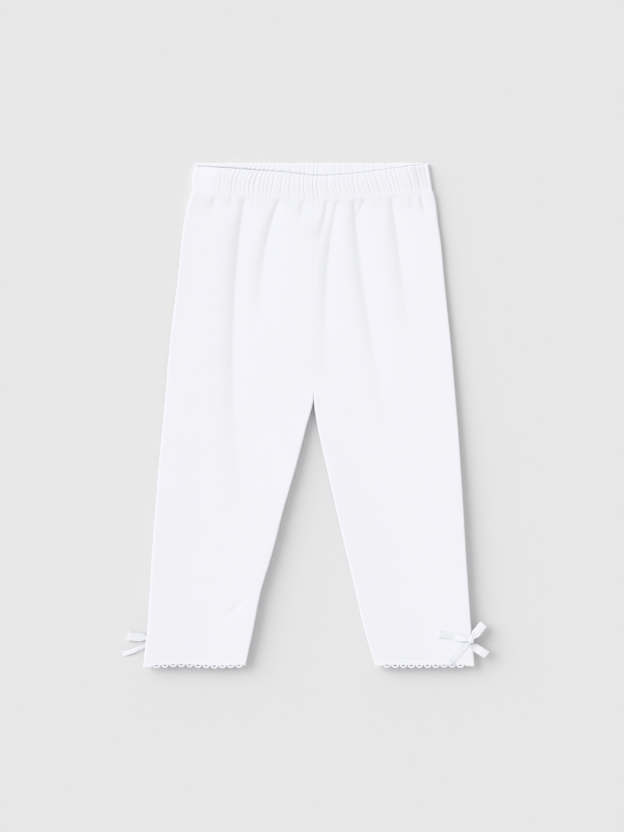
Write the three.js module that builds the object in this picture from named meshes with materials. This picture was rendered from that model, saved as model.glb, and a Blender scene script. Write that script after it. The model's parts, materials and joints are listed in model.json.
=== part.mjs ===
// Baby leggings with a gathered elastic waist, picot lace hems and satin bows, laid flat on their back.
// Millimetres. X runs across the garment, Y from the hems up to the waist, Z up from the table.
// Heights along Y are counted from the hem line until the finished group is centred at the end.

import * as THREE from "three";

// ---------------------------------------------------------------- driving sizes

const CLOTH = 1; // thickness of the cotton jersey
const SEAM_GAP = 0.3; // clearance between two pieces sewn to each other
const CENTRE = 2.4; // where the centre front and centre back seams lie across the garment
const CROTCH = 212; // height of the fork
const RISE_OPENS = 22; // above the fork, the inseam's turned edge opens out over this length
const SIDE_SEAM_LEVEL = 376.5; // height of the waist seam at the side folds
const BACK_LEVEL = 400; // height of the back edge of the waist

const BAND_THICKNESS = 2; // two layers of jersey with the elastic between them
const BAND_CLEARANCE = 0.6; // between the front and the back of the waistband
const BAND_RIDGES = 41; // gathers on each face of the waistband
const BAND_GROOVE = 0.6; // depth of the grooves between them

const LACE_TOP = 4.4; // upper edge of the lace heading
const LACE_FOOT = -0.5; // lower edge of the heading, between two scallops
const SCALLOP_DEPTH = 3.5;
const SCALLOP_PITCH = 6.5;

const RIBBON_WIDTH = 6.5;
const RIBBON = 1; // thickness of the satin ribbon
const RIBBON_PINCH = 2.8; // its width where it goes into the knot

const SEAM_LIFT = BAND_THICKNESS / 2 - CLOTH / 2; // the legs rise to the middle of the band's wall

// The outline of each leg: distance of its outer fold and its inner fold from the middle, by height.
// Above the fork the inner edge is the centre seam.
const LEFT_OUTLINE = [
  { y: -5, outer: 133.9, inner: 52.4 },
  { y: 0, outer: 133.4, inner: 51.5 },
  { y: 25, outer: 130.5, inner: 46.1 },
  { y: 58, outer: 128.1, inner: 39.5 },
  { y: 90, outer: 126.2, inner: 30.0 },
  { y: 122, outer: 123.8, inner: 21.8 },
  { y: 158, outer: 121.0, inner: 11.4 },
  { y: 190, outer: 118.0, inner: 3.1 },
  { y: CROTCH, outer: 116.0, inner: -CENTRE },
  { y: 258, outer: 112.2, inner: -CENTRE },
  { y: 306, outer: 106.3, inner: -CENTRE },
  { y: 334, outer: 103.4, inner: -CENTRE },
  { y: 354, outer: 100.9, inner: -CENTRE },
  { y: 366, outer: 98.4, inner: -CENTRE },
  { y: 372, outer: 96.4, inner: -CENTRE },
  { y: 378, outer: 94.0, inner: -CENTRE },
];
const RIGHT_OUTLINE = [
  { y: -5, outer: 131.2, inner: 52.2 },
  { y: 0, outer: 130.8, inner: 51.3 },
  { y: 25, outer: 128.5, inner: 43.6 },
  { y: 58, outer: 126.1, inner: 35.9 },
  { y: 90, outer: 124.0, inner: 28.2 },
  { y: 122, outer: 122.2, inner: 20.8 },
  { y: 158, outer: 119.9, inner: 12.5 },
  { y: 190, outer: 117.7, inner: 5.4 },
  { y: CROTCH, outer: 115.9, inner: CENTRE },
  { y: 258, outer: 111.9, inner: CENTRE },
  { y: 306, outer: 107.0, inner: CENTRE },
  { y: 334, outer: 104.5, inner: CENTRE },
  { y: 354, outer: 101.8, inner: CENTRE },
  { y: 366, outer: 100.2, inner: CENTRE },
  { y: 372, outer: 98.8, inner: CENTRE },
  { y: 378, outer: 96.8, inner: CENTRE },
];

// Heights of a leg's walls above where the back lies, from mid-thickness to mid-thickness: the front at
// the folds, which stand up, and the front between them. lip is the distance between the two walls in
// the fold itself, where the cloth is creased.
const SPREAD = [
  { y: -5, atFolds: 6.2, between: 5.7, lip: 1.5 },
  { y: 30, atFolds: 6.6, between: 5.9, lip: 1.5 },
  { y: 60, atFolds: 6.6, between: 5.8, lip: 1.5 },
  { y: 140, atFolds: 6.2, between: 5.4, lip: 1.5 },
  { y: CROTCH, atFolds: 4.6, between: 4.1, lip: 1.5 },
  { y: 300, atFolds: 3, between: 2.9, lip: 1.5 },
  { y: 340, atFolds: 2.8, between: 2.8, lip: 1.7 },
  { y: 378, atFolds: 2.6, between: 2.6, lip: 2.6 },
];
const SAG_LENGTH = 38; // from a fold, the front wall comes down over this length
const LIFT_LENGTH = 8; // near a fold, the back wall rises from the table over this length

// The front edge of the waist dips towards the middle, and so does the seam under it.
const WAIST = [
  { x: -96, top: 397.4, seam: SIDE_SEAM_LEVEL },
  { x: -60, top: 395.2, seam: 374.4 },
  { x: -20, top: 392.2, seam: 372 },
  { x: 6, top: 389.6, seam: 371 },
  { x: 32, top: 391, seam: 371.8 },
  { x: 64, top: 395, seam: 374.2 },
  { x: 98, top: 399.4, seam: SIDE_SEAM_LEVEL },
];

// The side ends of the waistband at its top and at its foot.
const BAND_SIDES = { topLeft: -91.4, footLeft: -93.8, topRight: 94.2, footRight: 96.8 };

// Soft troughs that run down from the waist seam. top, upper, lower and end are their places across
// the garment at the seam, at one and two thirds of their length, and at their lower end.
const FRONT_FOLDS = [
  { top: -88, upper: -90, lower: -92, end: -93, length: 14, depth: 0.5, width: 3.5 },
  { top: -76, upper: -78.5, lower: -80.5, end: -82, length: 26, depth: 0.8, width: 4 },
  { top: -54, upper: -64.5, lower: -64, end: -59.5, length: 245, depth: 1.1, width: 5.5 },
  { top: -28, upper: -37, lower: -42, end: -48, length: 92, depth: 1, width: 5 },
  { top: -3, upper: -5.5, lower: -7.5, end: -9, length: 24, depth: 0.7, width: 4 },
  { top: 14.5, upper: 9, lower: 8.5, end: 12.5, length: 128, depth: 0.9, width: 4.5 },
  { top: 24, upper: 21, lower: 19, end: 17, length: 30, depth: 0.6, width: 4 },
  { top: 39, upper: 40.5, lower: 50.5, end: 61, length: 205, depth: 1.1, width: 5.5 },
  { top: 65, upper: 71.5, lower: 77.5, end: 82, length: 102, depth: 1, width: 5 },
  { top: 84, upper: 87.5, lower: 90.5, end: 93, length: 22, depth: 0.7, width: 4 },
];
const BACK_FOLDS = [
  { top: -70, upper: -74, lower: -76, end: -77, length: 60, depth: 0.5, width: 5 },
  { top: -38, upper: -42, lower: -46, end: -47, length: 110, depth: 0.5, width: 6 },
  { top: 26, upper: 30, lower: 35, end: 41, length: 140, depth: 0.5, width: 6 },
  { top: 60, upper: 65, lower: 68, end: 70, length: 70, depth: 0.5, width: 5 },
];
const GATHER_DEPTH = 0.35; // small gathers between the folds, just under the waist seam
const GATHER_LENGTH = 26;

// The left leg lies on half of its own bow, so its back wall is raised there.
const BOW_ROOM = { x: -120, y: 15, halfWidth: 36, halfLength: 34, flat: 0.32, height: 2.8 };

// Heights at which a leg has a row of points. They are those at the side fold.
const LEG_ROWS = [
  LACE_TOP + SEAM_GAP, 14, 25, 35, 48, 80, 122, 162, 192, CROTCH, CROTCH + 8, CROTCH + RISE_OPENS,
  262, 290, 316, 338, 352, 362, 370, SIDE_SEAM_LEVEL - SEAM_GAP,
];

// Steps across a leg's panel, from its front edge round the outer fold to its back edge.
const LEG_STEPS = { frontEdge: 2, front: 16, fold: 4, back: 5, backEdge: 2 };

// ---------------------------------------------------------------- curves through the tables

const clamp = (value, low, high) => Math.min(high, Math.max(low, value));
const mix = (a, b, t) => a + (b - a) * t;

// Rises smoothly from 0 to 1 while t goes from 0 to 1.
function ease(t) {
  const c = clamp(t, 0, 1);
  return c * c * (3 - 2 * c);
}

// Reads one column of a table at any place along another, on a smooth curve through the rows.
function read(rows, key, column, at) {
  const last = rows.length - 1;
  const found = rows.findIndex((row) => row[key] > at);
  const i = found < 0 ? last - 1 : clamp(found - 1, 0, last - 1);
  const slope = (k) => {
    const before = rows[Math.max(k - 1, 0)];
    const after = rows[Math.min(k + 1, last)];
    return (after[column] - before[column]) / (after[key] - before[key]);
  };
  const span = rows[i + 1][key] - rows[i][key];
  const t = clamp((at - rows[i][key]) / span, 0, 1);
  const rise = rows[i + 1][column] - rows[i][column];
  const start = slope(i) * span;
  const finish = slope(i + 1) * span;
  const bend = (1 - t) * (start - rise) + t * (rise - finish);
  return rows[i][column] + t * rise + t * (1 - t) * bend;
}

// The cubic through four values at 0, 1/3, 2/3 and 1.
function throughFour(a, b, c, d, t) {
  const p = 3 * t - 1;
  const q = 3 * t - 2;
  const r = t - 1;
  return (-a * p * q * r + 9 * b * t * q * r - 9 * c * t * p * r + d * t * p * q) / 2;
}

// ---------------------------------------------------------------- heights of the two walls

// A trough with raised shoulders, 1 deep at 0 and level at 1.
const trough = (across) => (1 - across * across) * Math.exp((-across * across) / 2);

// Depth of all the folds of a table at one place of the cloth.
function foldDepth(folds, x, y) {
  let depth = 0;
  for (const fold of folds) {
    const down = seamAt(x) - y;
    const t = clamp(down / fold.length, 0, 1);
    const middle = throughFour(fold.top, fold.upper, fold.lower, fold.end, t);
    const fade = ease((down + 3) / 12) * (1 - t) ** 1.5;
    depth += fold.depth * fade * trough((x - middle) / fold.width);
  }
  return depth;
}

const seamAt = (x) => read(WAIST, "x", "seam", x);

// The left leg's back wall is raised by its own bow inside an ellipse, with a level middle.
function bowRoom(x, y) {
  const across = (x - BOW_ROOM.x) / BOW_ROOM.halfWidth;
  const along = (y - BOW_ROOM.y) / BOW_ROOM.halfLength;
  const out = (Math.hypot(across, along) - BOW_ROOM.flat) / (1 - BOW_ROOM.flat);
  return BOW_ROOM.height * (1 - ease(out));
}

// Mid-thickness of cloth that lies on the table. At the waist it rises to the waistband's wall.
const lyingLevel = (y) => CLOTH / 2 + SEAM_LIFT * ease((y - SIDE_SEAM_LEVEL + 14) / 13);

// Mid-thickness of the back wall without its folds. lift is 1 at a fold of the leg and 0 between them.
function backLevel(x, y, lift) {
  const atFolds = read(SPREAD, "y", "atFolds", y) - read(SPREAD, "y", "lip", y);
  return lyingLevel(y) + mix(bowRoom(x, y), atFolds, lift);
}

// Mid-thickness of the front wall without its folds. sag is 0 at a fold of the leg and 1 between them.
function frontLevel(y, sag) {
  const atFolds = read(SPREAD, "y", "atFolds", y);
  return lyingLevel(y) + mix(atFolds, read(SPREAD, "y", "between", y), sag);
}

// ---------------------------------------------------------------- a leg's panel

// Inner and outer extents of a leg at one height. side is -1 for the left leg and 1 for the right.
function extents(side, y) {
  const rows = side < 0 ? LEFT_OUTLINE : RIGHT_OUTLINE;
  const inner = y < CROTCH ? side * read(rows, "y", "inner", y) : CENTRE;
  return { inner: inner + (side * SEAM_GAP) / 2, outer: side * read(rows, "y", "outer", y) };
}

// The panel's path across the leg at one height: a flattened tube, open where its two edges meet.
function tubeAt(side, y) {
  const { inner, outer } = extents(side, y);
  const radius = read(SPREAD, "y", "lip", y) / 2;
  const opening = ease((y - CROTCH) / RISE_OPENS);
  const turn = Math.max((Math.PI / 2) * (1 - opening), 1e-3);
  const edgeLength = (Math.PI / 2) * (radius - SEAM_GAP / 2);
  const edgeRadius = edgeLength / turn;
  const edgeReach = (edgeRadius + CLOTH / 2) * Math.sin(turn);
  const foldStart = Math.abs(outer - inner) - radius - CLOTH / 2;
  return { inner, radius, opening, turn, edgeLength, edgeRadius, edgeReach, foldStart };
}

// How far the front wall has come down between the folds of its leg. Above the fork there is no inner
// fold. reach is the distance from the leg's inner extent.
function sagAt(tube, reach) {
  const fromOuter = ease((tube.foldStart - reach) / SAG_LENGTH);
  const fromInner = ease((reach - tube.edgeReach) / SAG_LENGTH);
  return fromOuter * mix(fromInner, 1, tube.opening);
}

// How far the back wall has risen from the table towards a fold of its leg.
function liftAt(tube, reach) {
  const atOuter = ease(1 - (tube.foldStart - reach) / LIFT_LENGTH);
  const atInner = ease(1 - (reach - tube.edgeReach) / LIFT_LENGTH);
  return atOuter + atInner * (1 - tube.opening);
}

// One point at mid-thickness, and the direction that faces out of the garment there.
// stretch names the part of the path and t runs from 0 to 1 along it.
function panelPoint(side, y, stretch, t, pleat) {
  const tube = tubeAt(side, y);
  const onFront = stretch === "frontEdge" || stretch === "front";
  const up = onFront ? 1 : -1;

  if (stretch === "fold") {
    const angle = (Math.PI / 2) * (1 - 2 * t);
    const centreX = tube.inner + side * tube.foldStart;
    const centreZ = frontLevel(y, 0) - tube.radius;
    return {
      point: new THREE.Vector3(
        centreX + side * tube.radius * Math.cos(angle),
        y,
        centreZ + tube.radius * Math.sin(angle),
      ),
      out: new THREE.Vector3(side * Math.cos(angle), 0, Math.sin(angle)),
    };
  }

  const bent = { frontEdge: 1 - t, backEdge: t }[stretch] ?? 0;
  const angle = bent * tube.turn;
  const flat = { frontEdge: 0, front: t, back: 1 - t, backEdge: 0 }[stretch];
  const reach = mix(tube.edgeReach, tube.foldStart, flat) - tube.edgeRadius * Math.sin(angle);
  const x = tube.inner + side * reach;

  // The folds of the cloth fade out towards the leg's outer fold, and below the rise its inner one.
  const clear = ease((tube.foldStart - reach) / 9) * mix(ease(reach / 9), 1, tube.opening);
  const height = (atX, atY) => {
    const folds = clear * foldDepth(onFront ? FRONT_FOLDS : BACK_FOLDS, atX, atY);
    const from = side * (atX - tube.inner);
    if (!onFront) return backLevel(atX, atY, liftAt(tube, from)) + Math.max(folds, 0);
    return frontLevel(atY, sagAt(tube, from)) - folds;
  };
  const gather = pleat * GATHER_DEPTH * clear * ease(1 - (seamAt(x) - y) / GATHER_LENGTH);
  const z = height(x, y) - up * (gather + tube.edgeRadius * (1 - Math.cos(angle)));

  const step = 0.5;
  const slopeX = (height(x + step, y) - height(x - step, y)) / (2 * step);
  const slopeY = (height(x, y + step) - height(x, y - step)) / (2 * step);
  const out = new THREE.Vector3(-slopeX, -slopeY, 1).multiplyScalar(up * Math.cos(angle));
  out.x -= side * Math.sin(angle);
  return { point: new THREE.Vector3(x, y, z), out: out.normalize() };
}

// The two faces of the cloth at one point of the panel. At a cut edge they lie level with it.
function bothFaces(side, y, column, atCutEdge) {
  const { point, out } = panelPoint(side, y, column.stretch, column.t, column.pleat);
  if (atCutEdge) out.setY(0).normalize();
  return {
    outer: point.clone().addScaledVector(out, CLOTH / 2),
    inner: point.clone().addScaledVector(out, -CLOTH / 2),
  };
}

// Height of one row of points in one column: near the waist the rows follow the dipping seam.
function rowHeight(side, level, column) {
  if (column.stretch !== "front" && column.stretch !== "frontEdge") return level;
  const { inner, outer } = extents(side, SIDE_SEAM_LEVEL);
  const flat = column.stretch === "front" ? column.t : 0;
  const dip = SIDE_SEAM_LEVEL - seamAt(mix(inner, outer, flat));
  return level - dip * clamp((level - CROTCH) / (SIDE_SEAM_LEVEL - CROTCH), 0, 1);
}

// The columns of a leg's panel, closer together near the folds on its back. Every other one on a flat
// wall is a gather under the waist seam.
function legColumns() {
  const columns = [{ stretch: "frontEdge", t: 0, pleat: 0 }];
  for (const [stretch, steps] of Object.entries(LEG_STEPS)) {
    const isFlat = stretch === "front" || stretch === "back";
    for (let k = 1; k <= steps; k++) {
      const t = stretch === "back" ? ease(k / steps) : k / steps;
      columns.push({ stretch, t, pleat: isFlat && k < steps ? k % 2 : 0 });
    }
  }
  return columns;
}

function legGeometry(side) {
  const loops = legColumns().map((column) => {
    const faces = LEG_ROWS.map((level, row) => {
      const atCutEdge = row === 0 || row === LEG_ROWS.length - 1;
      return bothFaces(side, rowHeight(side, level, column), column, atCutEdge);
    });
    const outer = faces.map((face) => face.outer);
    const inner = faces.map((face) => face.inner);
    return [...outer, ...inner.reverse()];
  });
  return sewnSolid(loops, false);
}

// ---------------------------------------------------------------- lace round a hem

// The lace goes on from the leg's cut edge along the same path, with a scalloped foot.
function laceGeometry(side) {
  const tube = tubeAt(side, 0);
  const lengths = {
    frontEdge: tube.edgeLength,
    front: tube.foldStart - tube.edgeReach,
    fold: Math.PI * tube.radius,
    back: tube.foldStart - tube.edgeReach,
    backEdge: tube.edgeLength,
  };
  const total = Object.values(lengths).reduce((sum, length) => sum + length, 0);
  const scallops = Math.round(total / SCALLOP_PITCH);
  const footOfScallop = [0, 0.8, 1, 0.8];
  const steps = scallops * footOfScallop.length;

  const loops = [];
  for (let k = 0; k <= steps; k++) {
    const column = columnAt(lengths, (total * k) / steps);
    const foot = LACE_FOOT - SCALLOP_DEPTH * footOfScallop[k % footOfScallop.length];
    const top = bothFaces(side, LACE_TOP, column, true);
    const low = bothFaces(side, foot, column, true);
    loops.push([top.outer, low.outer, low.inner, top.inner]);
  }
  return sewnSolid(loops, false);
}

// The stretch of the path that a distance along it falls on.
function columnAt(lengths, distance) {
  let left = distance;
  for (const [stretch, length] of Object.entries(lengths)) {
    if (left <= length + 1e-6) return { stretch, t: clamp(left / length, 0, 1), pleat: 0 };
    left -= length;
  }
  return { stretch: "backEdge", t: 1, pleat: 0 };
}

// ---------------------------------------------------------------- gathered waistband

// Half of the waistband's path seen from above, from one side end to the other, as fractions of its
// width. The gathers are uneven in pitch.
function gatherPlaces() {
  const steps = 2 * BAND_RIDGES;
  const places = [];
  for (let k = 0; k <= steps; k++) {
    const wander = 0.34 * Math.sin(2.3 * k) + 0.22 * Math.sin(0.9 * k + 1);
    places.push((k + wander * Math.sin((Math.PI * k) / steps)) / steps);
  }
  return places;
}

// Places round the waistband: along the front, round the right end, along the back, round the left end.
function bandStations() {
  const foldSteps = 4;
  const places = gatherPlaces();
  const groove = (k) => (k % 2) * BAND_GROOVE * (0.75 + 0.25 * Math.sin(1.7 * k));
  const stations = places.map((across, k) => ({ across, angle: Math.PI / 2, groove: groove(k) }));
  for (let k = 1; k < foldSteps; k++) {
    stations.push({ across: 1, angle: (Math.PI / 2) * (1 - (2 * k) / foldSteps), groove: 0 });
  }
  places.forEach((across, k) => {
    stations.push({ across: 1 - across, angle: -Math.PI / 2, groove: groove(k) });
  });
  for (let k = 1; k < foldSteps; k++) {
    stations.push({ across: 0, angle: (Math.PI / 2) * (-1 - (2 * k) / foldSteps), groove: 0 });
  }
  return stations;
}

// The wall's section at one station: up the outside, over the gathered top edge and down the inside.
// out is measured from mid-thickness and up is a fraction of the band's height.
function bandSection(groove) {
  const half = BAND_THICKNESS / 2;
  return [
    { out: -0.4 * half, up: 0 },
    { out: 0.4 * half, up: 0 },
    { out: half - groove, up: 0.07 },
    { out: half - groove, up: 0.9 },
    { out: 0.35 * half, up: 1 - 0.04 * groove },
    { out: -0.5 * half, up: 1 - 0.04 * groove },
    { out: -half + 0.5 * groove, up: 0.92 },
    { out: -half + 0.5 * groove, up: 0.1 },
  ];
}

function waistbandGeometry() {
  const radius = (BAND_THICKNESS + BAND_CLEARANCE) / 2;
  const margin = radius + BAND_THICKNESS / 2;
  const middle = BAND_THICKNESS / 2 + radius;
  const loops = bandStations().map(({ across, angle, groove }) =>
    bandSection(groove).map(({ out, up }) => {
      const left = mix(BAND_SIDES.footLeft, BAND_SIDES.topLeft, up) + margin;
      const right = mix(BAND_SIDES.footRight, BAND_SIDES.topRight, up) - margin;
      const pathX = mix(left, right, across);
      const reach = radius + out;
      const frontShare = (1 + Math.sin(angle)) / 2;
      const foot = mix(SIDE_SEAM_LEVEL, seamAt(pathX), frontShare);
      const top = mix(BACK_LEVEL, read(WAIST, "x", "top", pathX), frontShare);
      return new THREE.Vector3(
        pathX + reach * Math.cos(angle),
        mix(foot, top, up),
        middle + reach * Math.sin(angle),
      );
    }),
  );
  return sewnSolid(loops, true);
}

// ---------------------------------------------------------------- satin bows

// One ribbon along a path of { out, z, width }, in the upright plane through the knot that points
// towards heading. out is the distance from the knot's middle.
function ribbonGeometry(knot, heading, path) {
  const ahead = new THREE.Vector3(heading.x, heading.y, 0).normalize();
  const sideways = new THREE.Vector3(-ahead.y, ahead.x, 0);
  const loops = path.map(({ out, z, width }, k) => {
    const before = path[Math.max(k - 1, 0)];
    const after = path[Math.min(k + 1, path.length - 1)];
    const run = new THREE.Vector2(after.out - before.out, after.z - before.z).normalize();
    const corner = (across, through) =>
      new THREE.Vector3(knot.x, knot.y, 0)
        .addScaledVector(ahead, out - run.y * through)
        .addScaledVector(sideways, across)
        .setZ(z + run.x * through);
    return [
      corner(-width / 2, RIBBON / 2),
      corner(width / 2, RIBBON / 2),
      corner(width / 2, -RIBBON / 2),
      corner(-width / 2, -RIBBON / 2),
    ];
  });
  return sewnSolid(loops, false);
}

const ribbonWidth = (out) => mix(RIBBON_PINCH, RIBBON_WIDTH, ease((out - 3) / 6));

// A loop of ribbon that lies flat: out along its lower layer, round the tip and back on top.
function loopPath({ start, reach, z, droop, halfHeight, halfAtKnot }) {
  const straight = 4;
  const round = 4;
  const roundStart = reach - halfHeight - RIBBON / 2;
  const levelAt = (out) => z - droop * ((out - start) / (reach - start)) ** 2;
  const path = [];
  const layer = (k, sign) => {
    const out = mix(start, roundStart, k / straight);
    const half = mix(halfAtKnot, halfHeight, ease(k / straight));
    path.push({ out, z: levelAt(out) + sign * half, width: ribbonWidth(out) });
  };
  for (let k = 0; k <= straight; k++) layer(k, -1);
  for (let k = 1; k < round; k++) {
    const angle = -Math.PI / 2 + (Math.PI * k) / round;
    const out = roundStart + halfHeight * Math.cos(angle);
    path.push({ out, z: levelAt(roundStart) + halfHeight * Math.sin(angle), width: RIBBON_WIDTH });
  }
  for (let k = straight; k >= 0; k--) layer(k, 1);
  return path;
}

// A loose end of ribbon, from the knot to its cut.
function tailPath({ start, reach, z, droop }) {
  const steps = 6;
  const path = [];
  for (let k = 0; k <= steps; k++) {
    const out = mix(start, reach, k / steps);
    path.push({ out, z: z - droop * ease(k / steps), width: ribbonWidth(out) });
  }
  return path;
}

// Each bow: where its knot is, and each ribbon's tip from there, with its own height and droop.
const LAYERS_APART = (RIBBON + SEAM_GAP) / 2;
const RIGHT_KNOT_Y = 19.2;
const ON_LEG = CLOTH + read(SPREAD, "y", "atFolds", RIGHT_KNOT_Y) + SEAM_GAP; // just above the fold
const BOWS = [
  {
    name: "bow_right",
    knot: { x: 127.8, y: RIGHT_KNOT_Y, bottom: ON_LEG, halfHeight: 1.2 },
    loops: [
      { name: "loop_in", x: -25.4, y: 4.6, level: ON_LEG + 1.25, halfHeight: 0.7, droop: 0.4 },
      { name: "loop_out", x: 10.3, y: 12.5, level: ON_LEG + 1.3, halfHeight: 0.8, droop: 3.6 },
    ],
    tails: [
      { name: "tail_in", x: -15.6, y: -17.8, level: ON_LEG + 0.5, droop: 0.5 },
      { name: "tail_out", x: 12.9, y: -12.2, level: ON_LEG + 0.6, droop: 1.5 },
    ],
  },
  {
    name: "bow_left",
    knot: { x: -129.6, y: 16.6, bottom: 0, halfHeight: 1.2 },
    loops: [
      { name: "loop_in", x: 17.5, y: 3.4, level: 1.15, halfHeight: LAYERS_APART, droop: 0 },
      { name: "loop_out", x: -15.6, y: 7.6, level: 1.75, halfHeight: 1.25, droop: 0 },
    ],
    tails: [
      { name: "tail_in", x: 12, y: -12, level: RIBBON / 2, droop: 0 },
      { name: "tail_out", x: -19.4, y: -9.4, level: RIBBON / 2, droop: 0 },
    ],
  },
];
const KNOT_RADIUS = 2.6;

function knotGeometry(knot) {
  const geometry = new THREE.SphereGeometry(KNOT_RADIUS, 10, 6);
  geometry.rotateX(Math.PI / 2);
  geometry.scale(1, 0.9, knot.halfHeight / KNOT_RADIUS);
  geometry.translate(knot.x, knot.y, knot.bottom + knot.halfHeight);
  return geometry;
}

function bowMeshes({ name, knot, loops, tails }) {
  const start = KNOT_RADIUS + SEAM_GAP;
  const meshes = [piece(`${name}_knot`, knotGeometry(knot), SATIN)];
  for (const loop of loops) {
    const path = loopPath({
      start,
      reach: Math.hypot(loop.x, loop.y),
      z: loop.level,
      droop: loop.droop,
      halfHeight: loop.halfHeight,
      halfAtKnot: LAYERS_APART,
    });
    meshes.push(piece(`${name}_${loop.name}`, ribbonGeometry(knot, loop, path), SATIN));
  }
  for (const tail of tails) {
    const reach = Math.hypot(tail.x, tail.y);
    const path = tailPath({ start, reach, z: tail.level, droop: tail.droop });
    meshes.push(piece(`${name}_${tail.name}`, ribbonGeometry(knot, tail, path), SATIN));
  }
  return meshes;
}

// ---------------------------------------------------------------- solids and the scene

// A closed solid through a row of loops with equal numbers of points. Each loop goes up one face of a
// wall and down the other. A ring joins its last loop to its first, and otherwise both ends are closed.
function sewnSolid(loops, isRing) {
  const count = loops[0].length;
  const triangles = [];
  const quad = (a, b, c, d) => triangles.push(a, b, c, a, c, d);
  const joined = isRing ? loops.length : loops.length - 1;
  for (let i = 0; i < joined; i++) {
    const here = loops[i];
    const next = loops[(i + 1) % loops.length];
    for (let k = 0; k < count; k++) {
      const after = (k + 1) % count;
      quad(here[k], next[k], next[after], here[after]);
    }
  }
  if (!isRing) {
    const first = loops[0];
    const last = loops[loops.length - 1];
    for (let k = 0; k < count / 2 - 1; k++) {
      const mate = count - 1 - k;
      quad(first[k], first[k + 1], first[mate - 1], first[mate]);
      quad(last[k + 1], last[k], last[mate], last[mate - 1]);
    }
  }
  return new THREE.BufferGeometry().setFromPoints(facingOut(triangles));
}

// Turns every triangle round if the solid they enclose is inside out.
function facingOut(triangles) {
  let sixVolumes = 0;
  const cross = new THREE.Vector3();
  for (let i = 0; i < triangles.length; i += 3) {
    sixVolumes += cross.crossVectors(triangles[i + 1], triangles[i + 2]).dot(triangles[i]);
  }
  return sixVolumes < 0 ? triangles.reverse() : triangles;
}

const JERSEY = new THREE.MeshStandardMaterial({ color: 0xf3f3f6, roughness: 0.92, metalness: 0 });
const LACE = new THREE.MeshStandardMaterial({ color: 0xf6f6f8, roughness: 0.85, metalness: 0 });
const SATIN = new THREE.MeshStandardMaterial({ color: 0xf2f2f6, roughness: 0.35, metalness: 0 });

function piece(name, geometry, material) {
  geometry.computeVertexNormals();
  const mesh = new THREE.Mesh(geometry, material);
  mesh.name = name;
  return mesh;
}

const leggings = new THREE.Group();
leggings.add(piece("leg_left", legGeometry(-1), JERSEY));
leggings.add(piece("leg_right", legGeometry(1), JERSEY));
leggings.add(piece("waistband", waistbandGeometry(), JERSEY));
leggings.add(piece("lace_left", laceGeometry(-1), LACE));
leggings.add(piece("lace_right", laceGeometry(1), LACE));
for (const bow of BOWS) leggings.add(...bowMeshes(bow));

// The origin is the middle of the space that the leggings take, on the table.
const space = new THREE.Box3().setFromObject(leggings);
const middle = space.getCenter(new THREE.Vector3());
leggings.position.set(-middle.x, -middle.y, -space.min.z);

export default leggings;
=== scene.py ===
"""Baby leggings laid flat: jersey legs, a gathered waistband, picot lace hems and satin bows."""

import json

import bmesh
import bpy
import numpy as np
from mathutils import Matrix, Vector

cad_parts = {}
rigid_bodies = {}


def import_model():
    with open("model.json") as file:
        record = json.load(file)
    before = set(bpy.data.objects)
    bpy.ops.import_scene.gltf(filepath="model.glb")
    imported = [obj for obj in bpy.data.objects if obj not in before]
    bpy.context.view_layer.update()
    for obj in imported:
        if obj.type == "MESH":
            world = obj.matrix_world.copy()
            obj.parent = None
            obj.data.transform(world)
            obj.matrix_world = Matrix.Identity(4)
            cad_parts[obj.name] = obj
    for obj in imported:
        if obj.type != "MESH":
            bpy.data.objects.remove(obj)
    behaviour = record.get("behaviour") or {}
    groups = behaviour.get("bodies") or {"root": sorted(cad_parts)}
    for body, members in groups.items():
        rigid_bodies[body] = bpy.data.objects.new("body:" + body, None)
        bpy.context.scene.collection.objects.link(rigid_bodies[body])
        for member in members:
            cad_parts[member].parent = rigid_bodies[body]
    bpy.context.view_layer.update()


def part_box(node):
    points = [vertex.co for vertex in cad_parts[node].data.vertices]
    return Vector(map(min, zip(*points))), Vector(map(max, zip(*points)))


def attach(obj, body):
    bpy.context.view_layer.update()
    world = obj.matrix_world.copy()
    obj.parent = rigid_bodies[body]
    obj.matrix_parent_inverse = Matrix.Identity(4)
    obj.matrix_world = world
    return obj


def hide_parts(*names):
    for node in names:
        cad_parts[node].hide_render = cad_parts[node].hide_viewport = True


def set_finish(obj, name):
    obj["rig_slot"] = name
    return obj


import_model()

bl_info = {
    "name": "Baby Leggings",
    "version": (1, 0, 0),
    "blender": (4, 5, 0),
    "location": "View3D > Sidebar > Leggings",
    "description": "Dresses a pair of baby leggings, laid flat, in cloth, lace and satin ribbon",
    "category": "Add Mesh",
}

MM = 0.001  # the garment is worked out in millimetres and placed in metres


# ---------------------------------------------------------------- sizes of the garment


def table(columns, *rows):
    """A short table with named columns. Each column becomes an array."""
    return dict(zip(columns.split(), np.array(rows, dtype=float).T))


CLOTH = 0.9  # thickness of the jersey
CRISP = 0.04  # share of a step at which a cut edge has its extra row
PANEL_GAP = 0.01  # between the two panels at the centre seam and at each inseam
CENTRE = 2.4  # the centre front and centre back seams
CROTCH = 212.0
RISE_OPENS = 8.0  # above the fork, the inseam's turned edge opens out over this length
SIDE_SEAM_LEVEL = 376.5
BACK_LEVEL = 400.0
SAG_LENGTH = 38.0  # from a fold, the front wall comes down over this length
LIFT_LENGTH = 8.0  # near a fold, the back wall rises from the table over this length
FOLD_END = 8.0  # a soft fold runs out over this length
GATHER_DEPTH = 0.12  # of the waist's gathers where they run down into the legs
GATHER_SEEDS = {"front": 11, "back": 12}  # for the sway of the gathers

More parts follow.
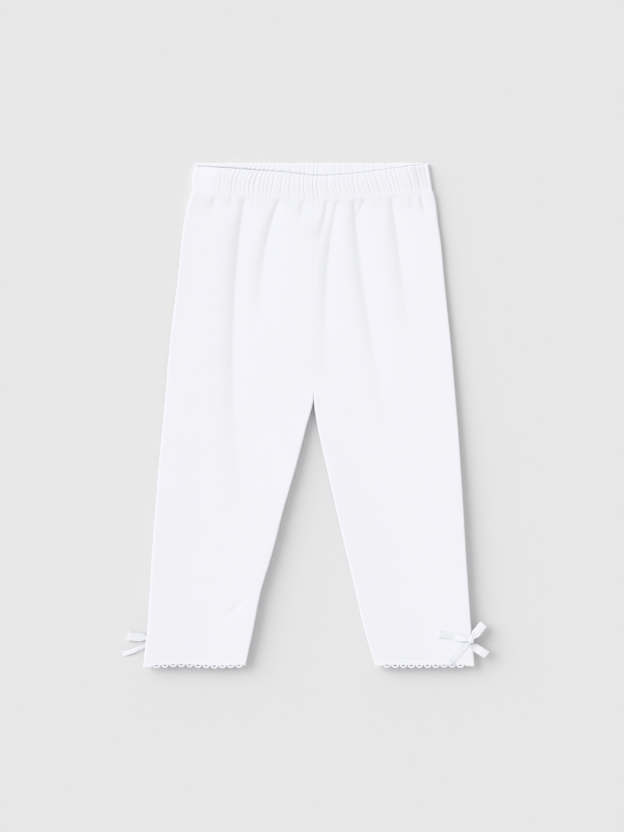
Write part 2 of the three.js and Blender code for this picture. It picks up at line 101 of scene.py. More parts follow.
BAND_THICKNESS = 2.0
BAND_CLEARANCE = 0.6
BAND_RADIUS = (BAND_THICKNESS + BAND_CLEARANCE) / 2
BAND_MIDDLE = BAND_THICKNESS / 2 + BAND_RADIUS
BAND_RIDGES = 54
BAND_GROOVE = 0.3  # depth of the deepest gathers
BAND_PUFF = 1.4  # the back's inside bulges by this much at its left end, above the front's edge
BAND_END = 0.6  # how sharply the band turns at its two ends, against a round turn
BAND_ROLL = 0.055  # share of the band's height in its rolled top, and in its rounded foot
BAND_FOOT = 0.4  # thickness of the band at its foot, against the rest
SEAM_LIFT = BAND_THICKNESS / 2 - 0.5  # at the seam the legs' walls rise this far to the band's

SIDES = {"left": -1, "right": 1}
HEM_SWAY = {-1: (0.5, -104, 30), 1: (0.15, 0, 9 * np.pi)}  # by side: height, crest, half a wave
HEM_SWAY_REACH = 26.0  # the sway dies out over this height

LACE_TOP = 4.5
LACE_FOOT = -0.6
LACE_CORNER_FOOT = {-1: -2.1, 1: -1.5}  # by side
# The plain corners of the lace: where each sets in, over what distance outwards and how fully.
LACE_CORNERS = {-1: ((-125.6, -2, 1), (-53.8, 1.5, 0.8)), 1: ((58.2, -2, 1), (122.4, 2, 1))}
PICOTS = {
    -1: {"first": -122.7, "count": 11, "pitch": 6.56, "seed": 41},
    1: {"first": 61.1, "count": 10, "pitch": 6.48, "seed": 42},
}
PICOT_HALF_WIDTH = 2.35
PICOT_DEPTH = 1.95
PICOT_THREAD = 0.86  # half thickness of the thread of a picot
PICOT_FLATNESS = 0.55  # the thread's other half axis, against the first
PICOT_TUCK = 0.12  # angle by which each end of a picot goes on up under the heading
BEAD = 1.1  # length of a bead of the chain
STITCH = {"length": 1.7, "thickness": 0.34}
STITCH_ROWS = {"upper_stitches": (4.55, 0.43), "lower_stitches": (1.3, 0.4)}  # height and lift

# Each leg's outline: its outer and inner fold, from the middle of the garment, by height. Above the
# fork the inner edge is the centre seam.
OUTLINE = table(
    "y left_outer left_inner right_outer right_inner",
    (-5, 133.9, 52.4, 131.2, 52.2),
    (0, 133.4, 51.5, 130.8, 51.3),
    (25, 130.5, 46.1, 128.5, 43.6),
    (58, 128.1, 39.5, 126.1, 35.9),
    (90, 126.2, 30.0, 124.0, 28.2),
    (122, 123.8, 21.8, 122.2, 20.8),
    (158, 121.0, 11.4, 119.9, 12.5),
    (190, 118.0, 3.1, 117.7, 5.4),
    (CROTCH, 116.0, -CENTRE, 115.9, CENTRE),
    (258, 112.2, -CENTRE, 111.9, CENTRE),
    (306, 106.3, -CENTRE, 107.0, CENTRE),
    (334, 103.4, -CENTRE, 104.5, CENTRE),
    (354, 100.9, -CENTRE, 101.8, CENTRE),
    (366, 98.4, -CENTRE, 100.6, CENTRE),
    (372, 96.4, -CENTRE, 99.6, CENTRE),
    (378, 94.8, -CENTRE, 98.0, CENTRE),
)

# Heights of a leg's walls above where the back lies: the front at the folds, which stand up, and
# the front between them. lip is the distance between the two walls in the fold itself.
SPREAD = table(
    "y at_folds between lip",
    (-5, 6.2, 5.7, 0.95),
    (30, 6.6, 6.05, 0.95),
    (60, 6.6, 6.0, 0.95),
    (140, 6.2, 5.65, 0.95),
    (CROTCH, 4.6, 4.3, 0.95),
    (300, 3.0, 2.9, 0.95),
    (340, 2.8, 2.8, 1.2),
    (378, 2.6, 2.6, 2.6),
)

# The front edge of the waist dips towards the middle, and so does the seam under it.
WAIST = table(
    "x top seam",
    (-96, 397.4, SIDE_SEAM_LEVEL),
    (-60, 395.2, 374.4),
    (-20, 392.2, 372),
    (6, 389.6, 371),
    (32, 391, 371.8),
    (64, 395, 374.2),
    (98, 399.4, SIDE_SEAM_LEVEL),
)
BAND_SIDES = {"top_left": -91.4, "foot_left": -94.6, "top_right": 94.2, "foot_right": 98.0}

# Soft folds that run down from the waist seam: their places across the garment at the seam, at one
# and two thirds of their length and at their lower end, how steep their left flank is and how wide.
FRONT_FOLDS = table(
    "top upper lower end length steep width",
    (-76.6, -77.8, -79.8, -82.0, 19, 0.26, 3.0),
    (-63.4, -64.2, -65.2, -66.2, 15, 0.16, 3.0),
    (-52.6, -60.7, -60.8, -54.6, 262, 0.22, 5.2),
    (-24.8, -35.4, -40.4, -44.6, 118, 0.24, 4.6),
    (-4.9, -6.8, -7.8, -8.4, 22, 0.24, 3.0),
    (13.0, 11.2, 8.4, 5.4, 42, 0.34, 2.8),
    (21.6, 13.4, 12.4, 16.6, 172, 0.2, 3.8),
    (34.4, 42.8, 54.4, 66.0, 216, 0.22, 5.5),
    (42.4, 40.8, 38.4, 36.0, 22, 0.26, 3.4),
    (63.8, 70.8, 76.2, 81.6, 134, 0.21, 4.9),
    (78.4, 80.8, 83.4, 86.2, 22, 0.2, 3.0),
    (87.0, 89.4, 92.0, 94.8, 24, 0.34, 3.2),
)
BACK_FOLDS = table(
    "top upper lower end length steep width",
    (-70, -74, -76, -77, 60, 0.12, 4),
    (-38, -42, -46, -47, 110, 0.14, 5),
    (26, 30, 35, 41, 140, 0.14, 5),
    (60, 65, 68, 70, 70, 0.12, 4),
)

# A low swelling of the right leg's front, and a short slanting crease low on the left leg's front.
SWELLING = {"x": 66, "y": 250, "half_width": 26, "half_length": 75, "height": 0.6}
CREASE = {"x": -60, "y": 44, "run": (0.77, 0.64), "length": 11, "width": 2.6, "depth": 0.4}

# The left leg lies on half of its own bow, so its back wall is raised there.
BOW_ROOM = {"x": -120, "y": 15, "half_width": 36, "half_length": 34, "flat": 0.32, "height": 2.8}

RIBBON_WIDTH = 6.5
RIBBON_PINCH = 2.6  # width at the knot
KNOTS = {"left": (-129.6, 16.6), "right": (127.8, 19.2)}
KNOT_SIZES = {"left": (1.9, 1.7, 1.1), "right": (2.8, 2.2, 0.95)}  # half: across, along, up
KNOT_HEADING = (1, 0.15)
THIN = 1e-4  # half thickness of a thread's end, which is then merged into a point


# ---------------------------------------------------------------- curves and noise


def mix(a, b, t):
    """From a to b in proportion to t."""
    return a + (b - a) * t


def ease(t):
    """Rises smoothly from 0 to 1 while t goes from 0 to 1."""
    c = np.clip(t, 0, 1)
    return c * c * (3 - 2 * c)


def read(rows, key, column, at):
    """One column of a table at any places, on a smooth curve: between two rows it is the cubic
    that leaves each row with the slope between that row's neighbours."""
    k, v = rows[key], rows[column]
    slope = np.gradient(v)
    slope[1:-1] = (v[2:] - v[:-2]) / (k[2:] - k[:-2])
    slope[0] = (v[1] - v[0]) / (k[1] - k[0])
    slope[-1] = (v[-1] - v[-2]) / (k[-1] - k[-2])
    i = np.clip(np.searchsorted(k, at, side="right") - 1, 0, len(k) - 2)
    span = k[i + 1] - k[i]
    t = np.clip((at - k[i]) / span, 0, 1)
    rise = v[i + 1] - v[i]
    bend = (1 - t) * (slope[i] * span - rise) + t * (rise - slope[i + 1] * span)
    return v[i] + t * rise + t * (1 - t) * bend


def through_four(a, b, c, d, t):
    """The cubic through four values at 0, 1/3, 2/3 and 1."""
    p, q, r = 3 * t - 1, 3 * t - 2, t - 1
    return (-a * p * q * r + 9 * b * t * q * r - 9 * c * t * p * r + d * t * p * q) / 2


def points(*places):
    """Points from arrays of their places along each axis, which may differ in shape."""
    return np.stack(np.broadcast_arrays(*places), -1)


def even_steps(count, crisp_start=False, crisp_end=False):
    """From 0 to 1 in even steps. A crisp end has one more value close to it, which keeps the
    smooth shading of a cloth from rounding its cut edge."""
    t = np.arange(count + 1) / count
    if crisp_start:
        t = np.insert(t, 1, CRISP / count)
    if crisp_end:
        t = np.insert(t, -1, 1 - CRISP / count)
    return t


def soft_noise(x, y, size, seed):
    """Smooth noise from -1 to 1: seeded values on a square lattice, eased from one to the next."""
    lattice = np.random.default_rng(seed).uniform(-1, 1, (64, 64))
    u, v = x / size, y / size
    i, j = np.floor(u).astype(int), np.floor(v).astype(int)
    s, t = ease(u - i), ease(v - j)
    low = mix(lattice[i % 64, j % 64], lattice[(i + 1) % 64, j % 64], s)
    high = mix(lattice[i % 64, (j + 1) % 64], lattice[(i + 1) % 64, (j + 1) % 64], s)
    return mix(low, high, t)


# ---------------------------------------------------------------- gathers of the waist


def groove_table():
    """Places of the grooves between gathers, as fractions of the band's width, with uneven
    spacing, depth and reach down into the legs."""
    k = 2 * np.arange(BAND_RIDGES) + 1
    steps = 2 * BAND_RIDGES
    wander = 0.34 * np.sin(2.3 * k) + 0.22 * np.sin(0.9 * k + 1)
    place = (k + wander * np.sin(np.pi * k / steps)) / steps
    chance = np.random.default_rng(5)
    return {
        "number": np.arange(BAND_RIDGES),
        "place": place,
        "depth": chance.uniform(0.1, 1.0, BAND_RIDGES),
        "reach": chance.uniform(6, 26, BAND_RIDGES),
        "width": chance.uniform(0.3, 0.75, BAND_RIDGES),
    }


GROOVES = groove_table()


def gathers(across, up, seed, column="depth"):
    """Grooves of a gathered cloth: 0 between them and down to -1 in their narrow valleys, which
    lean outwards on their way down and sway a little. up is 1 at the top of the band and 0 at
    its seam. Also gives the column's value for the nearest groove."""
    lean = -0.02 * np.sin(2 * np.pi * (across - 0.5)) * (1 - up)
    phase = np.interp(across + lean, GROOVES["place"], GROOVES["number"])
    phase = phase + 0.3 * soft_noise(across * 190, up * 22, 11, seed)
    nearest = np.clip(np.rint(phase), 0, BAND_RIDGES - 1).astype(int)
    off = np.sin(np.pi * phase)
    deep = np.exp(-((off / GROOVES["width"][nearest]) ** 2)) * GROOVES["depth"][nearest]
    return -deep, GROOVES[column][nearest]


def band_ends(up):
    """The left and right ends of the waistband's path at a fraction of its height. The right end
    runs straight from foot to top, and the left end as the fifth power of the height."""
    margin = BAND_END * (BAND_RADIUS + BAND_THICKNESS / 2)
    left = mix(BAND_SIDES["foot_left"], BAND_SIDES["top_left"], up**5) + margin
    right = mix(BAND_SIDES["foot_right"], BAND_SIDES["top_right"], up) - margin
    return left, right


def leg_gathers(x, y, face):
    """Depth of the waist's gathers where they run down into the front or back of the legs: each
    fades with what is left of its own reach to the power 1.3."""
    left, right = band_ends(0)
    down = (seam_at(x) if face == "front" else SIDE_SEAM_LEVEL) - y
    across = np.clip((x - left) / (right - left), 0, 1)
    groove, reach = gathers(across, -down / 40, GATHER_SEEDS[face], "reach")
    return -GATHER_DEPTH * groove * ease(1 - down / reach) ** 1.3


# ---------------------------------------------------------------- heights of the two walls


def seam_at(x):
    """Height of the front waist seam, from its table."""
    return read(WAIST, "x", "seam", x)


def fold_depth(folds, x, y):
    """Depth of all the folds at places of the cloth. A fold's line follows a cubic through four
    places. The cloth drops to the line over its left flank and rises again three times as slowly:
    each flank falls off as e to minus the distance to the power 1.15. Flanks are narrow at the
    seam, and wider and lower further down, in proportion to what is left of the fold's length. In
    its last few millimetres that proportion runs out as a square."""
    depth = np.zeros(np.broadcast(x, y).shape)
    down = seam_at(x) - y
    for top, upper, lower, end, length, steep, width in zip(*folds.values()):
        t = np.clip(down / length, 0, 1)
        off = x - through_four(top, upper, lower, end, t)
        flank = width * (mix(0.36, 0.85, ease(down / 40)) + 1.3 * t**2)
        end_zone = min(FOLD_END / length, 0.5)
        rest = 1 - t
        rest = np.where(rest < end_zone, rest**2 / end_zone / 2, rest - end_zone / 2)
        fade = ease((down + 1) / 6) * rest / (1 - end_zone / 2)
        away = (np.hypot(off, 0.2 * flank) - 0.2 * flank) / np.where(off < 0, flank, 3 * flank)
        depth += 1.5 * steep * flank * fade * np.exp(-(away**1.15))
    return depth


def bow_room(x, y):
    """The left leg's back is raised by its own bow inside an ellipse, with a level middle."""
    across = (x - BOW_ROOM["x"]) / BOW_ROOM["half_width"]
    along = (y - BOW_ROOM["y"]) / BOW_ROOM["half_length"]
    out = (np.hypot(across, along) - BOW_ROOM["flat"]) / (1 - BOW_ROOM["flat"])
    return BOW_ROOM["height"] * (1 - ease(out))


def lying_level(y):
    """Mid-thickness of cloth on the table. At the waist it rises to the waistband's wall."""
    return CLOTH / 2 + SEAM_LIFT * ease((y - SIDE_SEAM_LEVEL + 14) / 13)


def back_level(x, y, lift):
    """Mid-thickness of the back wall: from its place on the table, or on its bow, up to its height
    at the folds, in proportion to lift, which is 1 at a fold of the leg and 0 between them."""
    at_folds = read(SPREAD, "y", "at_folds", y) - read(SPREAD, "y", "lip", y)
    return lying_level(y) + mix(bow_room(x, y), at_folds, lift)


def front_level(y, sag):
    """Mid-thickness of the front wall: from its height at the folds to that between them, in
    proportion to sag, which is 0 at a fold of the leg and 1 between them."""
    apart = mix(read(SPREAD, "y", "at_folds", y), read(SPREAD, "y", "between", y), sag)
    return lying_level(y) + apart


def front_waves(x, y):
    """Broad shallow waves of relaxed cloth, as noise, with the swelling and the crease: both fall
    off as e to minus the squared distance from their middle, in their own sizes."""
    waves = 0.12 * soft_noise(x, y * 0.45, 34, 21) + 0.02 * soft_noise(x, y * 0.6, 13, 22)
    across = (x - SWELLING["x"]) / SWELLING["half_width"]
    along = (y - SWELLING["y"]) / SWELLING["half_length"]
    waves = waves + SWELLING["height"] * np.exp(-(across**2) - along**2)
    right, up = x - CREASE["x"], y - CREASE["y"]
    c, s = CREASE["run"]
    along = (right * c + up * s) / CREASE["length"]
    over = (up * c - right * s) / CREASE["width"]
    return waves - CREASE["depth"] * np.exp(-(along**2) - over**2)


# ---------------------------------------------------------------- a leg's panel


class Tube:
    """The flattened tube of one leg at given heights: where its folds and inseam edges lie, as
    distances from its inner extent. Above the fork the edges open out flat."""

    def __init__(self, side, y):
        """Reads the outline and the height of the fold at heights y."""
        name = "left" if side < 0 else "right"
        inner = np.where(y < CROTCH, side * read(OUTLINE, "y", f"{name}_inner", y), CENTRE)
        self.side = side
        self.inner = inner + side * PANEL_GAP / 2
        outer = side * read(OUTLINE, "y", f"{name}_outer", y)
        self.radius = read(SPREAD, "y", "lip", y) / 2
        self.opening = ease((y - CROTCH) / RISE_OPENS)
        self.turn = np.maximum(np.pi / 2 * (1 - self.opening), 1e-3)
        self.edge_length = np.pi / 2 * (self.radius - PANEL_GAP / 2)
        self.edge_radius = self.edge_length / self.turn
        self.edge_reach = (self.edge_radius + CLOTH / 2) * np.sin(self.turn)
        self.fold_start = np.abs(outer - self.inner) - self.radius - CLOTH / 2

    def sag(self, reach):
        """How far the front wall has come down between the folds."""
        from_outer = ease((self.fold_start - reach) / SAG_LENGTH)
        from_inner = ease((reach - self.edge_reach) / SAG_LENGTH)
        return from_outer * mix(from_inner, 1, self.opening)

    def lift(self, reach):
        """How far the back wall has risen from the table towards a fold."""
        at_outer = ease(1 - (self.fold_start - reach) / LIFT_LENGTH)
        at_inner = ease(1 - (reach - self.edge_reach) / LIFT_LENGTH)
        return at_outer + at_inner * (1 - self.opening)


def panel_points(side, y, stretch, t):
    """Mid-thickness points of one stretch of a leg's panel. t runs along the stretch from 0 to 1,
    the stretches go from the front inseam edge round the outer fold to the back inseam edge. The
    outer fold is a half circle. Each inseam edge is an arc of constant length, a quarter circle
    below the fork and straight well above it. The walls between them lie at their levels, plus
    their folds and gathers, which die out towards the fold and the edge."""
    tube = Tube(side, y)
    if stretch == "fold":
        angle = np.pi / 2 * (1 - 2 * t)
        centre = tube.inner + side * tube.fold_start
        x = centre + side * tube.radius * np.cos(angle)
        z = front_level(y, 0) - tube.radius * (1 - np.sin(angle))
        return points(x, y, z)
    front = stretch in ("front_edge", "front")
    up = 1 if front else -1
    bent = {"front_edge": 1 - t, "back_edge": t}.get(stretch, 0 * t)
    angle = bent * tube.turn
    flat = {"front": t, "back": 1 - t}.get(stretch, 0 * t)
    reach = mix(tube.edge_reach, tube.fold_start, flat) - tube.edge_radius * np.sin(angle)
    x = tube.inner + side * reach
    clear = ease((tube.fold_start - reach) / 9) * mix(ease(reach / 9), 1, tube.opening)
    seam_dip = 0.02 * np.exp(-((reach / 1.1) ** 2)) * tube.opening
    if front:
        relief = front_waves(x, y) - fold_depth(FRONT_FOLDS, x, y) - leg_gathers(x, y, "front")
        relief = relief * ease((seam_at(x) + 1.3 - y) / 3)
        z = front_level(y, tube.sag(reach)) + clear * relief - seam_dip
    else:
        relief = fold_depth(BACK_FOLDS, x, y) + leg_gathers(x, y, "back")
        z = back_level(x, y, tube.lift(reach)) + clear * relief + seam_dip
    return points(x, y, z - up * tube.edge_radius * (1 - np.cos(angle)))


# Rows of a leg's panel: from which height to which, and how many. They are closer together where
# the cloth bends more. Its lower edge lies under the lace.
LEG_ROWS = (
    (4.52, 12, 7),
    (12, 70, 27),
    (70, 190, 47),
    (190, 244, 33),
    (244, 336, 45),
    (336, 377.6, 58),
)
LEG_STEPS = {"front_edge": 4, "front": 150, "fold": 12, "back": 40, "back_edge": 4}


def leg_levels():
    """Heights of the rows of a leg's panel, with one more row close to each cut edge."""
    blocks = []
    for low, high, count in LEG_ROWS:
        t = even_steps(count, low == LEG_ROWS[0][0], high == LEG_ROWS[-1][1])
        blocks.append(low + (high - low) * t[: None if high == LEG_ROWS[-1][1] else -1])
    return np.concatenate(blocks)


def stretch_steps(stretch, count):
    """Steps along one stretch. The first starts, and the last ends, at a cut edge."""
    t = even_steps(count, stretch == "front_edge", stretch == "back_edge")
    return t[None, (0 if stretch == "front_edge" else 1) :]


def panel_surface(side):
    """A leg's whole panel as a grid: rows at the leg's levels at the side fold, and steps across
    each stretch. On the front the rows near the waist follow the dipping seam."""
    blocks = []
    for stretch, count in LEG_STEPS.items():
        t = stretch_steps(stretch, count)
        y = leg_levels()[:, None] + 0 * t
        if stretch in ("front", "front_edge"):
            ends = Tube(side, np.array([SIDE_SEAM_LEVEL]))
            flat = t if stretch == "front" else 0 * t
            x = ends.inner + side * flat * (ends.fold_start + ends.radius)
            rise = np.clip((y - CROTCH) / (SIDE_SEAM_LEVEL - CROTCH), 0, 1)
            y = y - (SIDE_SEAM_LEVEL - seam_at(x)) * rise
        blocks.append(panel_points(side, y, stretch, t + 0 * y))
    return np.concatenate(blocks, axis=1)


def hem_sway(side, panel):
    """The hem's edge isn't quite straight: a cosine moves it up and down by a fraction of a
    millimetre, and less and less above it."""
    x, y = panel[..., 0], panel[..., 1]
    height, crest, half_wave = HEM_SWAY[side]
    swing = height * np.cos((x - crest) * np.pi / half_wave)
    moved = panel.copy()
    moved[..., 1] += swing * ease(1 - (y + 1) / HEM_SWAY_REACH)
    return moved


# ---------------------------------------------------------------- meshes


def garment_shift():
    """From the garment's own zero, on the hem line, to the frame: the knots' places give it."""
    low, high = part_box("bow_right_knot")
    across, along = KNOTS["right"]
    middle = (low + high) / 2
    return np.array([middle.x - across * MM, middle.y - along * MM, 0.0])


SHIFT = garment_shift()


def mesh_object(name, grids, material, close_rows=False, close_columns=False):
    """One mesh from grids of points, given as an array (grids, rows, columns, 3) in millimetres:
    a quad between every four neighbours, and across the join where a direction is closed. The UV
    map holds millimetres along the columns and rows of the cloth."""
    if grids.ndim == 3:
        grids = grids[None]
    count, rows, columns, _ = grids.shape
    index = np.arange(count * rows * columns).reshape(count, rows, columns)
    across = path_lengths(grids, 2)
    along = path_lengths(grids, 1)
    if close_rows:
        index = np.concatenate([index, index[:, :1]], axis=1)
        along = np.concatenate([along, along[:, -1:] + 1], axis=1)
        across = np.concatenate([across, across[:, :1]], axis=1)
    if close_columns:
        index = np.concatenate([index, index[:, :, :1]], axis=2)
        across = np.concatenate([across, across[:, :, -1:] + 1], axis=2)
        along = np.concatenate([along, along[:, :, :1]], axis=2)
    uv = np.stack([across, along], -1)

    def corners(values):
        around = [values[:, :-1, :-1], values[:, :-1, 1:], values[:, 1:, 1:], values[:, 1:, :-1]]
        return np.stack(around, axis=3)

    quads = corners(index).reshape(-1, 4)
    mesh = bpy.data.meshes.new(name)
    placed = grids.reshape(-1, 3) * MM + SHIFT
    mesh.vertices.add(len(placed))
    mesh.vertices.foreach_set("co", placed.astype(np.float32).ravel())
    mesh.loops.add(quads.size)
    mesh.loops.foreach_set("vertex_index", quads.astype(np.int32).ravel())
    mesh.polygons.add(len(quads))
    mesh.polygons.foreach_set("loop_start", np.arange(0, quads.size, 4, dtype=np.int32))
    mesh.update(calc_edges=True)
    mesh.polygons.foreach_set("use_smooth", np.ones(len(quads), dtype=bool))
    layer = mesh.uv_layers.new(name="cloth")
    layer.data.foreach_set("uv", corners(uv).astype(np.float32).ravel())
    mesh.validate()
    piece = bpy.data.objects.new(name, mesh)
    bpy.context.scene.collection.objects.link(piece)
    mesh.materials.append(material)
    return piece


def path_lengths(grids, axis):
    """Distance along one direction of the grids, from its start."""
    steps = np.linalg.norm(np.diff(grids, axis=axis), axis=-1)
    start = np.zeros_like(np.take(grids[..., 0], [0], axis=axis))
    return np.concatenate([start, np.cumsum(steps, axis=axis)], axis=axis)


def thicken(piece, thickness):
    """Gives a sheet its thickness, half to each side, with closed edges."""
    wall = piece.modifiers.new("thickness", "SOLIDIFY")
    wall.thickness = thickness * MM
    wall.offset = 0
    wall.use_rim = True
    return piece


def tubes(centres, first, second, radii, around):
    """Closed tubes round centre lines: a ring of points at each step, spanned by the two given
    directions and sized by radii, the two half axes at each step. The ends shrink to points."""
    angle = np.linspace(0, 2 * np.pi, around, endpoint=False)
    circle = np.cos(angle)[:, None] * (first * radii[..., :1])[..., None, :]
    circle = circle + np.sin(angle)[:, None] * (second * radii[..., 1:])[..., None, :]
    return centres[..., None, :] + circle


def close_ends(piece):
    """Merges the shrunken ends of tubes into single points."""
    work = bmesh.new()
    work.from_mesh(piece.data)
    bmesh.ops.remove_doubles(work, verts=work.verts, dist=20 * THIN * MM)
    work.to_mesh(piece.data)
    work.free()
    return piece


def finish_piece(piece, slot, *nodes):
    """The piece moves with the garment, takes its finish from a slot and replaces its solids."""
    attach(piece, "root")
    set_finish(piece, slot)
    if nodes:
        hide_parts(*nodes)


# ---------------------------------------------------------------- waistband


def band_path():
    """The waistband's path: along the front, round the right end, along the back and round the
    left end. Gives the place across the band, from 0 to 1, and the angle of the turn, which is a
    quarter on the front and minus a quarter on the back."""
    along = np.linspace(0, 1, 9 * BAND_RIDGES)
    turn = np.linspace(0, np.pi, 16)[1:-1]
    quarter = np.pi / 2
    across = np.concatenate([along, 1 + 0 * turn, along[::-1], 0 * turn])
    angle = np.concatenate(
        [quarter + 0 * along, quarter - turn, -quarter + 0 * along, -quarter - turn]
    )
    return across[:, None], angle[:, None]


def band_section():
    """The waistband's section: up the outside, over the rolled top, down the inside and round the
    foot. Gives how far it lies out of the wall's middle, its height from 0 to 1, and its side,
    from 1 on the outside to -1 on the inside."""
    half = BAND_THICKNESS / 2
    foot = BAND_FOOT * half
    climb = np.linspace(BAND_ROLL, 1 - BAND_ROLL, 40)
    over = np.linspace(0, np.pi, 11)[1:-1]
    under = np.linspace(0, np.pi, 7)[1:-1]
    outside = mix(foot, half, ease(climb / 0.8))
    rounded = mix(-half, foot, (1 - np.cos(under)) / 2)
    out = np.concatenate([outside, half * np.cos(over), -half + 0 * climb[::-1], rounded])
    top = 1 - BAND_ROLL + BAND_ROLL * np.sin(over)
    up = np.concatenate([climb, top, climb[::-1], BAND_ROLL - BAND_ROLL * np.sin(under)])
    return out[None, :], up[None, :], np.tanh(out / half * 2.5)[None, :]


def band_grooves(across, up, front):
    """The waistband's gathers, which are fainter towards the left end and stop at both ends."""
    faces = [gathers(across, up, GATHER_SEEDS[face])[0] for face in ("front", "back")]
    groove = np.where(front, *faces)
    groove = groove * mix(0.3, 1, ease(across / 0.15)) * ease(across / 0.02)
    return groove * ease((1 - across) / 0.012)


def waistband_surface():
    """The waistband as a closed ring: its section carried along its path. The gathers press both
    sides of the wall in, most of all between the foot and the rolled top, and the top edge ripples
    with them. The inside of the back bulges a little above the front's edge."""
    across, angle = band_path()
    out, up, side = band_section()
    up = up + 0 * across
    groove = band_grooves(across, up, np.sin(angle) > 0)
    depth = BAND_GROOVE * mix(0.1, 1, ease(up / 0.2)) * mix(1, 0.6, ease((up - 0.8) / 0.2))
    out = out + side * groove * np.where(side > 0, depth, 0.85 * depth)

    left, right = band_ends(up)
    path = mix(left, right, across)
    reach = BAND_RADIUS + out
    front_share = (1 + np.sin(angle)) / 2
    low = mix(SIDE_SEAM_LEVEL, seam_at(path), front_share)
    front_top = read(WAIST, "x", "top", path)
    high = mix(BACK_LEVEL, front_top, front_share)
    ripple = 0.25 * soft_noise(path, front_share * 40, 9, 31) + 0.35 * groove
    y = mix(low, high, up) + ripple * ease((up - 0.6) / 0.4)
    puff = BAND_PUFF * mix(0.28, 1, (1 - across) ** 2) * ease((y - front_top - 0.2) / 1.2)
    puff = puff * (1 - front_share) * (1 - side) / 2
    at_ends = np.maximum(ease(1 - across / 0.1), ease(1 - (1 - across) / 0.08))
    flatter = mix(0.1, 0.36, ease(up)) * at_ends
    z = (BAND_MIDDLE + reach * np.sin(angle) + puff) * (1 - flatter)
    return points(path + BAND_END * reach * np.cos(angle), y, z)


# ---------------------------------------------------------------- lace


HEM_STEPS = {"front_edge": 6, "front": 130, "fold": 16, "back": 130, "back_edge": 6}
DOWN = np.array([0, -1.0, 0])  # towards the hem


def corner_share(side, x):
    """1 where the lace wraps plainly round a corner of the hem and 0 where its loops show."""
    shares = [full * ease((x - start) / run) for start, run, full in LACE_CORNERS[side]]
    return np.maximum(*shares)


def lace_foot(side, x):
    """Height of the heading's foot. It is lower where the lace wraps round a corner."""
    return mix(LACE_FOOT, LACE_CORNER_FOOT[side], corner_share(side, x))


def hem_stretches(side, y_at):
    """Points round a hem: y_at gives the rows' heights from the places across the garment."""
    blocks = []
    for stretch, count in HEM_STEPS.items():
        t = stretch_steps(stretch, count)
        x = panel_points(side, 0 * t, stretch, t)[..., 0]
        y = y_at(x)
        blocks.append(panel_points(side, y, stretch, t + 0 * y))
    return hem_sway(side, np.concatenate(blocks, axis=1))


def lace_heading(side):
    """The band of the lace: along the leg's path, from the leg down to the foot of the loops."""
    down = even_steps(7, crisp_start=True, crisp_end=True)[:, None]
    return hem_stretches(side, lambda x: mix(LACE_TOP, lace_foot(side, x), down))


class HemLine:
    """A line round a hem at one height, or along the heading's foot: positions by distance along
    it, with the directions along the line and out of the cloth."""

    def __init__(self, side, y=None):
        """Without a height y the line follows the heading's foot."""
        rows = (lambda x: lace_foot(side, x)) if y is None else (lambda x: 0 * x + y)
        self.points = hem_stretches(side, rows)[0]
        self.distance = path_lengths(self.points[None, None], 2)[0, 0]
        run = np.gradient(self.points, axis=0)
        run[:, 1] = 0
        run /= np.linalg.norm(run, axis=1)[:, None]
        self.run = run
        self.out = side * np.stack([-run[:, 2], 0 * run[:, 1], run[:, 0]], -1)

    def at(self, distance):
        """Point, run and out at distances along the line."""

        def pick(rows):
            return points(*(np.interp(distance, self.distance, rows[:, k]) for k in range(3)))

        return pick(self.points), pick(self.run), pick(self.out)

    def places(self, x):
        """Distances at which the line passes the places x, first on the front, then on the back."""
        fold = np.argmax(np.abs(self.points[:, 0]))
        found = []
        for part in (slice(0, fold), slice(fold, None)):
            order = np.argsort(self.points[part, 0])
            found.append(np.interp(x, self.points[part, 0][order], self.distance[part][order]))
        return np.concatenate(found)


def lace_loops(side, line):
    """The lace's picots: half rings of thread below the heading's foot, each an arc from foot to
    foot with an eyelet inside. Their sizes vary a little."""
    row = PICOTS[side]
    middle = line.places(row["first"] + row["pitch"] * np.arange(row["count"]))
    size = np.random.default_rng(row["seed"]).uniform(0.9, 1.08, (len(middle), 2))
    bend = np.linspace(-PICOT_TUCK, np.pi + PICOT_TUCK, 25)[None, :]
    half_width = PICOT_HALF_WIDTH * size[:, :1]
    depth = PICOT_DEPTH * size[:, 1:]
    point, run, out = line.at(middle[:, None] - half_width * np.cos(bend))
    centres = point + DOWN * (depth * np.sin(bend))[..., None]
    outward = -run * np.cos(bend)[..., None] + DOWN * np.sin(bend)[..., None]
    wraps = 1 + 0.1 * np.cos(bend * 14)
    shrink = ease(np.minimum(bend + PICOT_TUCK, np.pi + PICOT_TUCK - bend) / 0.1)
    thick = PICOT_THREAD * wraps * shrink + THIN
    radii = points(thick, PICOT_FLATNESS * thick) + 0 * centres[..., :2]
    return tubes(centres, outward, out, radii, around=10)


def foot_chain(line):
    """A fine chain of thread along the heading's foot, in beads a millimetre long."""
    distance = np.linspace(0, line.distance[-1], 420)[None, :]
    point, run, out = line.at(distance)
    ends = ease(np.minimum(distance, line.distance[-1] - distance) / 0.8)
    thick = (0.42 + 0.07 * np.cos(2 * np.pi * distance / BEAD)) * ends + THIN
    return tubes(point, DOWN + 0 * out, out, points(thick, thick), around=8)


def stitch_row(line, pitch, lift):
    """A row of stitches along a line: short capsules that lie on the cloth."""
    count = int(line.distance[-1] / pitch)
    start = (np.arange(count) + 0.5) * pitch
    step = np.linspace(-0.5, 0.5, 7)
    point, run, out = line.at(start[:, None] + STITCH["length"] * step[None, :])
    body = np.sqrt(np.clip(1 - (2 * step) ** 2, 0, 1)) ** 0.6
    radii = STITCH["thickness"] / 2 * body[None, :, None] + THIN + 0 * point[..., :2]
    return tubes(point + out * lift, np.cross(run, out), out, radii, around=6)


# ---------------------------------------------------------------- satin bows


